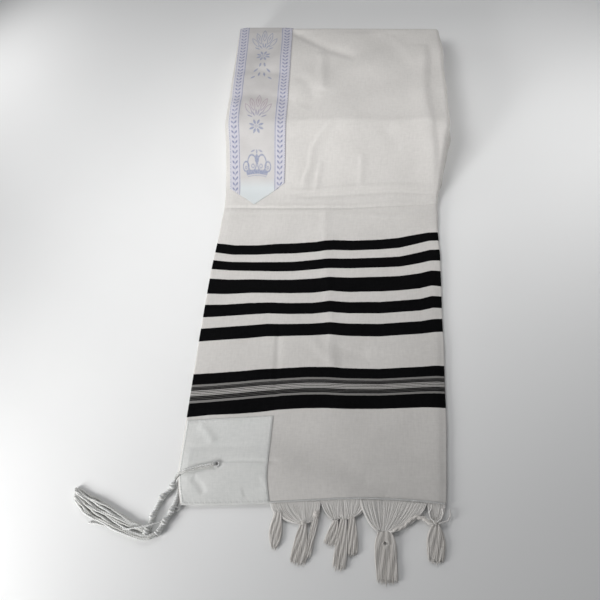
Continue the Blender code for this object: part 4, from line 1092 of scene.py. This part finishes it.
def wound_cord(path):
    """A cord wound closely with its own string: the path's radius, ridged by a fine helix,
    and by fat turns where it is knotted."""
    line, s = smooth_path(path, CORD_SHOWN)
    knotted = np.clip((line[:, 3] - KNOTTED_FROM) / 0.0004, 0, 1)
    turn = np.cumsum(np.gradient(s) * 2 * np.pi / (WINDING + (KNOT_TURN - WINDING) * knotted))
    bulge = 1 + knotted * 0.08 * np.sin(turn)
    return tubes(line[None, :, :3], (line[:, 3] * bulge)[None], 16, 1, 0.035, turn[None])


def laid_on(cord):
    """The cord's points, raised with the creases of the patch where they lie on it."""
    cord = cord.copy()
    u, q = place_on_cloth(cord[:, 0], cord[:, 1])
    on_cloth = np.clip((cord[:, 0] - station(LEFT, q)) / 0.006, 0, 1) * (q > HEM)
    cord[:, 2] += np.maximum(folds(u, q), 0) * on_cloth
    return cord


CORD_UPPER = laid_on(CORD_UPPER)
# Spun wool is matt, and its twist shows as slanted grey valleys of painted shade.
tassel_mat = yarn_material("white wool tassel yarn", TASSEL_WHITE, TASSEL_GREY, FIBRE_TURN, 0.75)
# The upper cord starts as two strings from the eyelet, bowed apart in their middle.
loose = CORD_UPPER[:UNWOUND + 1, :3]
sideways = np.cross(unit(np.gradient(loose, axis=0)), (0, 0, 1))
pair = []
for shift, radius, tone in LOOSE_STRINGS:
    apart = shift * np.sin(np.pi * np.clip((np.arange(UNWOUND + 1) + 1) / (UNWOUND + 1.6), 0, 1))
    route = loose + sideways * apart[:, None] - (0, 0, 0.0001)
    route[0] = (*EYELET, 0.0030)
    line, s = smooth_path(route, 160)
    pair.append(tubes(line[None], radius, 10, 2, 0.18, (s * 2 * np.pi / PLY_TWIST / 2)[None],
                      tone=np.array([tone])))

# Each tassel: its wound cord, a bunch of strings that wave and lie over each other in two
# layers, and its stray ones.
for name, node, cord, (at_knot, at_end, lead), strands, extra in (
        ("tassel_upper_yarns", "corner_tassel_upper", CORD_UPPER[UNWOUND - 1:], BUNCHES[0],
         [CROSSING_STRING], pair),
        ("tassel_lower_yarns", "corner_tassel_lower", CORD_LOWER, BUNCHES[1], [STRAY_END, CURL], [])):
    knot = cord[-2, :3]
    t = np.linspace(0, 1, 60)
    upper_edge, lower_edge = (np.stack([np.interp(t, np.linspace(0, 1, len(line)), v)
                                        for v in np.transpose(line)], -1) for line in BUNCH_EDGES)
    down = unit(lower_edge - upper_edge)
    paths = []
    for k in range(STRINGS):
        place = k / (STRINGS - 1)
        share = np.interp(t, [0, 0.40], [a + (b - a) * place for a, b in (at_knot, at_end)])[:, None]
        wave = (0.0008 * np.sin(2 * np.pi * (1.1 + 0.06 * k) * t + 1.9 * k)
                + 0.0003 * np.sin(2 * np.pi * (4.3 - 0.3 * k) * t + 0.8 * k)) * np.clip(t * 3, 0, 1)
        line = upper_edge + (lower_edge - upper_edge) * share + down * wave[:, None]
        z = STRING_LAYERS[k % 2] + 0.0005 * np.sin(11 * t + k) * np.clip(t * 4, 0, 1)
        body = np.column_stack([line, z])
        spread_by = (place - 0.5) * np.linspace(0.003, 0.006, len(lead) + 1)[1:, None]
        way = np.column_stack([np.array(lead) + down[0] * spread_by,
                               np.full(len(lead), 0.0030 + 0.0006 * (k % 3))])
        line, s = smooth_path(np.concatenate([[knot], way, body]), 150)
        paths.append(line)
    paths = np.array(paths)
    singles = [smooth_path(v, 60) for v in strands]
    extra = extra + [tubes(line[None], SINGLE_RADIUS, 8, 2, 0.14, (s * np.pi / PLY_TWIST)[None])
                     for line, s in singles]
    number = np.arange(STRINGS)
    tones = 0.45 + 0.55 * np.sin(2.7 * number + len(extra)) ** 2
    twist = distance_along(paths) * np.pi / PLY_TWIST + number[:, None]
    strings = tubes(paths, STRING_RADIUS, 8, 2, 0.14, twist, tone=tones)
    points, faces, uv, values = joined([wound_cord(cord), strings, *extra])
    tassel = piece(name, points, faces, tassel_mat, uv, values)
    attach(tassel, "root")
    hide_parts(node)


# Hem fringe
# The warp ends left beyond the last weft, gathered into eight groups. Each group runs from
# the hem as a sheer fan to a knot, and hangs on as a flat tail that frays at its end.
FRINGE = [
    # Knot x and y, fan from and to along the hem, tail's end x and y, size of the knot, and
    # the tail's half width with its shares at the knot, at the widest place and at the end.
    (-0.0302, -0.3830, -0.0390, -0.0262, -0.0312, -0.4190, 0.0, (0.0066, 0.55, 0.62, 0.45)),
    (-0.0010, -0.3930, -0.0370,  0.0165, -0.0048, -0.4335, 0.8, (0.0084, 0.35, 1.00, 1.00)),
    (0.0125,  -0.3836,  0.0100,  0.0160,  0.0050, -0.4270, 1.0, (0.0030, 0.80, 0.50, 0.80)),
    (0.0335,  -0.3890,  0.0165,  0.0400,  0.0292, -0.4140, 0.0, (0.0072, 0.30, 1.00, 1.00)),
    (0.0420,  -0.3880,  0.0230,  0.0600,  0.0390, -0.4370, 0.5, (0.0066, 0.45, 0.90, 1.00)),
    (0.0505,  -0.3850,  0.0420,  0.0700,  0.0516, -0.4230, 0.0, (0.0054, 0.55, 0.90, 1.00)),
    (0.0850,  -0.3990,  0.0590,  0.1290,  0.0880, -0.4475, 0.0, (0.0108, 0.62, 0.35, 0.98)),
    (0.1365,  -0.3890,  0.1290,  0.1520,  0.1362, -0.4262, 0.8, (0.0088, 0.35, 0.60, 0.85))]
ROUND_FAN = 2                                   # the group whose outer ends bow out most
# The group whose tail is parted by a hole: where in its length, its radius, the slit below.
HOLED, HOLE_AT, HOLE_RADIUS, SLIT = 7, 0.24, 0.0020, 0.0004
# The last group also holds an end twisted over from the seventh, and three loose loops.
TWISTED_END = [(0.0940, -0.3975, 0.0030), (0.1047, -0.3938, 0.0026), (0.1110, -0.3872, 0.0026),
               (0.1166, -0.3836, 0.0026), (0.1244, -0.3842, 0.0028), (0.1307, -0.3890, 0.0030),
               (0.1350, -0.3910, 0.0030)]
TWISTED_RADIUS, TWISTED_TURN, LOOP_RADIUS = 0.0018, 0.012, 0.0007
LOOPS = [
    [(0.1330, -0.3745, 0.0030), (0.1306, -0.3790, 0.0030), (0.1318, -0.3845, 0.0034),
     (0.1355, -0.3880, 0.0046)],
    [(0.1440, -0.3745, 0.0030), (0.1446, -0.3800, 0.0046), (0.1425, -0.3850, 0.0050),
     (0.1380, -0.3885, 0.0048)],
    [(0.1515, -0.3750, 0.0024), (0.1518, -0.3815, 0.0024), (0.1490, -0.3865, 0.0030),
     (0.1400, -0.3895, 0.0046)]]
KNOT, KNOT_TURNS, KNOT_TONE = (0.0034, 0.0030, 0.0026), 6, 0.55
END_RADIUS = 0.00036        # one warp end, drawn half as thick again as it is
ENDS_APART, TAIL_APART = 0.00036, 0.00030       # two plies of ends side by side, in fan and tail
FAN_PLACES, TAIL_PLACES = 13, 40                # along each end of a fan and of a tail
FAN_SPARE, TAIL_SPARE = 14, 10                  # ends more than lie side by side
TUCKED_IN, LEAST_GATHER = 0.0012, 0.0026        # start inside the hem, half width at a knot
OVERCAST_IN, OVERCAST_PITCH = 0.0005, 0.0011    # the white stitches that hold the hem's edge
OVERCAST_LIFT, OVERCAST_LENGTH, OVERCAST_RADIUS = 0.0002, 0.0024, 0.00048
FRINGE_WHITE, FRINGE_GREY, END_TWIST = "#fbfaf8", "#cdc6bd", 0.0018
# Loose warp ends are matt and a little warmer than the cloth, with a fine twist whose valleys are painted
# shade.
fringe_mat = yarn_material("undyed warp ends", FRINGE_WHITE, FRINGE_GREY, END_TWIST, 0.8)


def hem_edge(x, below):
    """Places on the hem's edge at the given x, below the upper face by the given amounts."""
    u, hem = np.clip(share_across(x, HEM), 0, 1), np.full(np.shape(x), HEM)
    return cloth(u, hem, folds(u, hem) - below)


at, run, normal = seam(np.linspace(PATCH_ACROSS[1], 1.0, ALONG_SEAM), np.full(ALONG_SEAM, HEM + OVERCAST_IN),
                       OVERCAST_LIFT, OVERCAST_PITCH)
sew("hem_overcast", at, unit(np.cross(normal, run)), normal, OVERCAST_LENGTH, OVERCAST_RADIUS)


def knot_form(centre, radii, turns):
    """A ball whose radius waves as its thread is wound: one plus 0.13 times the sine of
    (twice the longitude plus turns times the latitude), less so towards its poles."""
    lat = np.linspace(0.06, np.pi - 0.06, 15)[:, None]
    lon = np.arange(20) * 2 * np.pi / 20
    r = 1 + 0.13 * np.sin(2 * lon + turns * lat) * np.sin(lat)
    ball = r[..., None] * np.stack(np.broadcast_arrays(np.sin(lat) * np.cos(lon), np.cos(lat),
                                                       np.sin(lat) * np.sin(lon)), -1)
    points, faces = tube_faces((np.array(centre) + ball * radii)[None, :, ::-1])
    uv = np.stack(np.broadcast_arrays(lon / (2 * np.pi), lat * 0.004), -1).reshape(-1, 2)
    return points, faces, uv, np.full(len(points), KNOT_TONE)


for number, (knot_x, knot_y, fan_from, fan_to, tail_x, tail_y, tied, tail_form) in enumerate(FRINGE):
    rng = np.random.default_rng(40 + number)
    knot = np.array([knot_x, knot_y, KNOT[2] + 0.0004])
    half, at_knot, widest, at_end = tail_form
    # The fan: warp ends from both plies of the hem, drawn in towards the knot.
    count = int((fan_to - fan_from) / ENDS_APART) + FAN_SPARE
    s = (np.arange(count) + 0.5) / count
    x = fan_from + (fan_to - fan_from) * s + rng.normal(0, 0.0001, count)
    start = hem_edge(x, np.where(np.arange(count) % 2, 0.0004, 0.0010)) + (0, TUCKED_IN, 0)
    gather = max(half * at_knot, LEAST_GATHER)
    into = knot + np.stack([(s - 0.5) * 2 * gather, rng.normal(0, 0.0004, count),
                            rng.uniform(-0.0018, 0.0006, count)], -1)
    t = np.linspace(0, 1, FAN_PLACES)[None, :]
    bow = 1 + 0.9 * np.abs(s - 0.5)[:, None] * (2 if number + 1 == ROUND_FAN else 1)
    inward, downward = t ** bow, 1 - (1 - t) ** bow
    fan = start[:, None] + (into - start)[:, None] * np.stack([inward, downward, t + 0 * inward], -1)
    fan[..., 2] = np.maximum(fan[..., 2] - 0.0008 * np.sin(np.pi * t), 0.0007)
    threads = tubes(fan, END_RADIUS, 4, tone=rng.uniform(0.85, 1.0, count), flat=1.3)

    # The tail: a flat ribbon of the same ends, combed side by side and ragged where they stop.
    tail = np.array([tail_x, tail_y]) - knot[:2]
    length = np.hypot(*tail)
    along = tail / length
    across = np.array([-along[1], along[0]])
    count = int(half * 2 / TAIL_APART) + TAIL_SPARE
    s = np.linspace(-1, 1, count)
    t = np.linspace(0, 1, TAIL_PLACES)
    ragged = 0.05 * np.sin(9 * s + number) * np.sin(23 * s) + rng.normal(0, 0.02, count)
    reach = 1 + ragged - 0.05 * np.abs(s) ** 2
    width = half * (at_knot + (1 - at_knot) * np.sin(np.pi / 2 * np.clip(t / widest, 0, 1)))
    width = width * (1 - (1 - at_end) * np.clip((t - widest) / (1.001 - widest), 0, 1) ** 2)
    comb = (0.0003 * np.sin(5 * s[:, None] + 7 * t + number) * t
            + rng.normal(0, 0.00005, (count, TAIL_PLACES)).cumsum(1))
    off = s[:, None] * width + comb
    if number + 1 == HOLED:
        aside = np.sign(s)[:, None] * np.exp(-(s[:, None] * width / 0.0045) ** 2)
        ring = HOLE_RADIUS * np.sqrt(np.maximum(1 - ((t - HOLE_AT) * length / HOLE_RADIUS) ** 2, 0))
        off = off + aside * (ring + SLIT * np.clip((t - 0.3) / 0.05, 0, 1))
    forward = (t * reach[:, None] * length)[..., None] * along
    off = off[..., None] * across
    z = 0.0009 + 0.0005 * (np.arange(count)[:, None] % 3) * (1 - 0.3 * t) + 0.0012 * np.exp(-t / 0.12)
    z = z + 0.0006 * np.sin(4 * s[:, None] + 5 * t + number) ** 2
    hang = np.concatenate([knot[:2] + forward + off, z[..., None]], -1)
    taper = END_RADIUS * np.interp(t, [0, 0.9, 1], [1.1, 1.0, 0.5])
    # The tails' ends take darker tones than the same ends in the fan: painted shade.
    locks = tubes(hang, taper[None], 4, tone=rng.uniform(0.45, 0.75, count), flat=1.3)
    parts = [threads, locks]
    if tied:
        parts.append(knot_form(knot, np.array(KNOT) * tied, KNOT_TURNS))
    if number + 1 == len(FRINGE):
        line, s = smooth_path(TWISTED_END, 120)
        parts.append(tubes(line[None], TWISTED_RADIUS, 10, 2, 0.2, (s * 2 * np.pi / TWISTED_TURN)[None],
                           tone=np.array([0.6])))
        parts += [tubes(smooth_path(loop, 40)[0][None], LOOP_RADIUS, 6) for loop in LOOPS]
    points, faces, uv, values = joined(parts)
    tassel = piece(f"fringe_ends_{number + 1}", points, faces, fringe_mat, uv, values)
    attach(tassel, "root")
    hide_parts(f"fringe_tassel_{number + 1}")
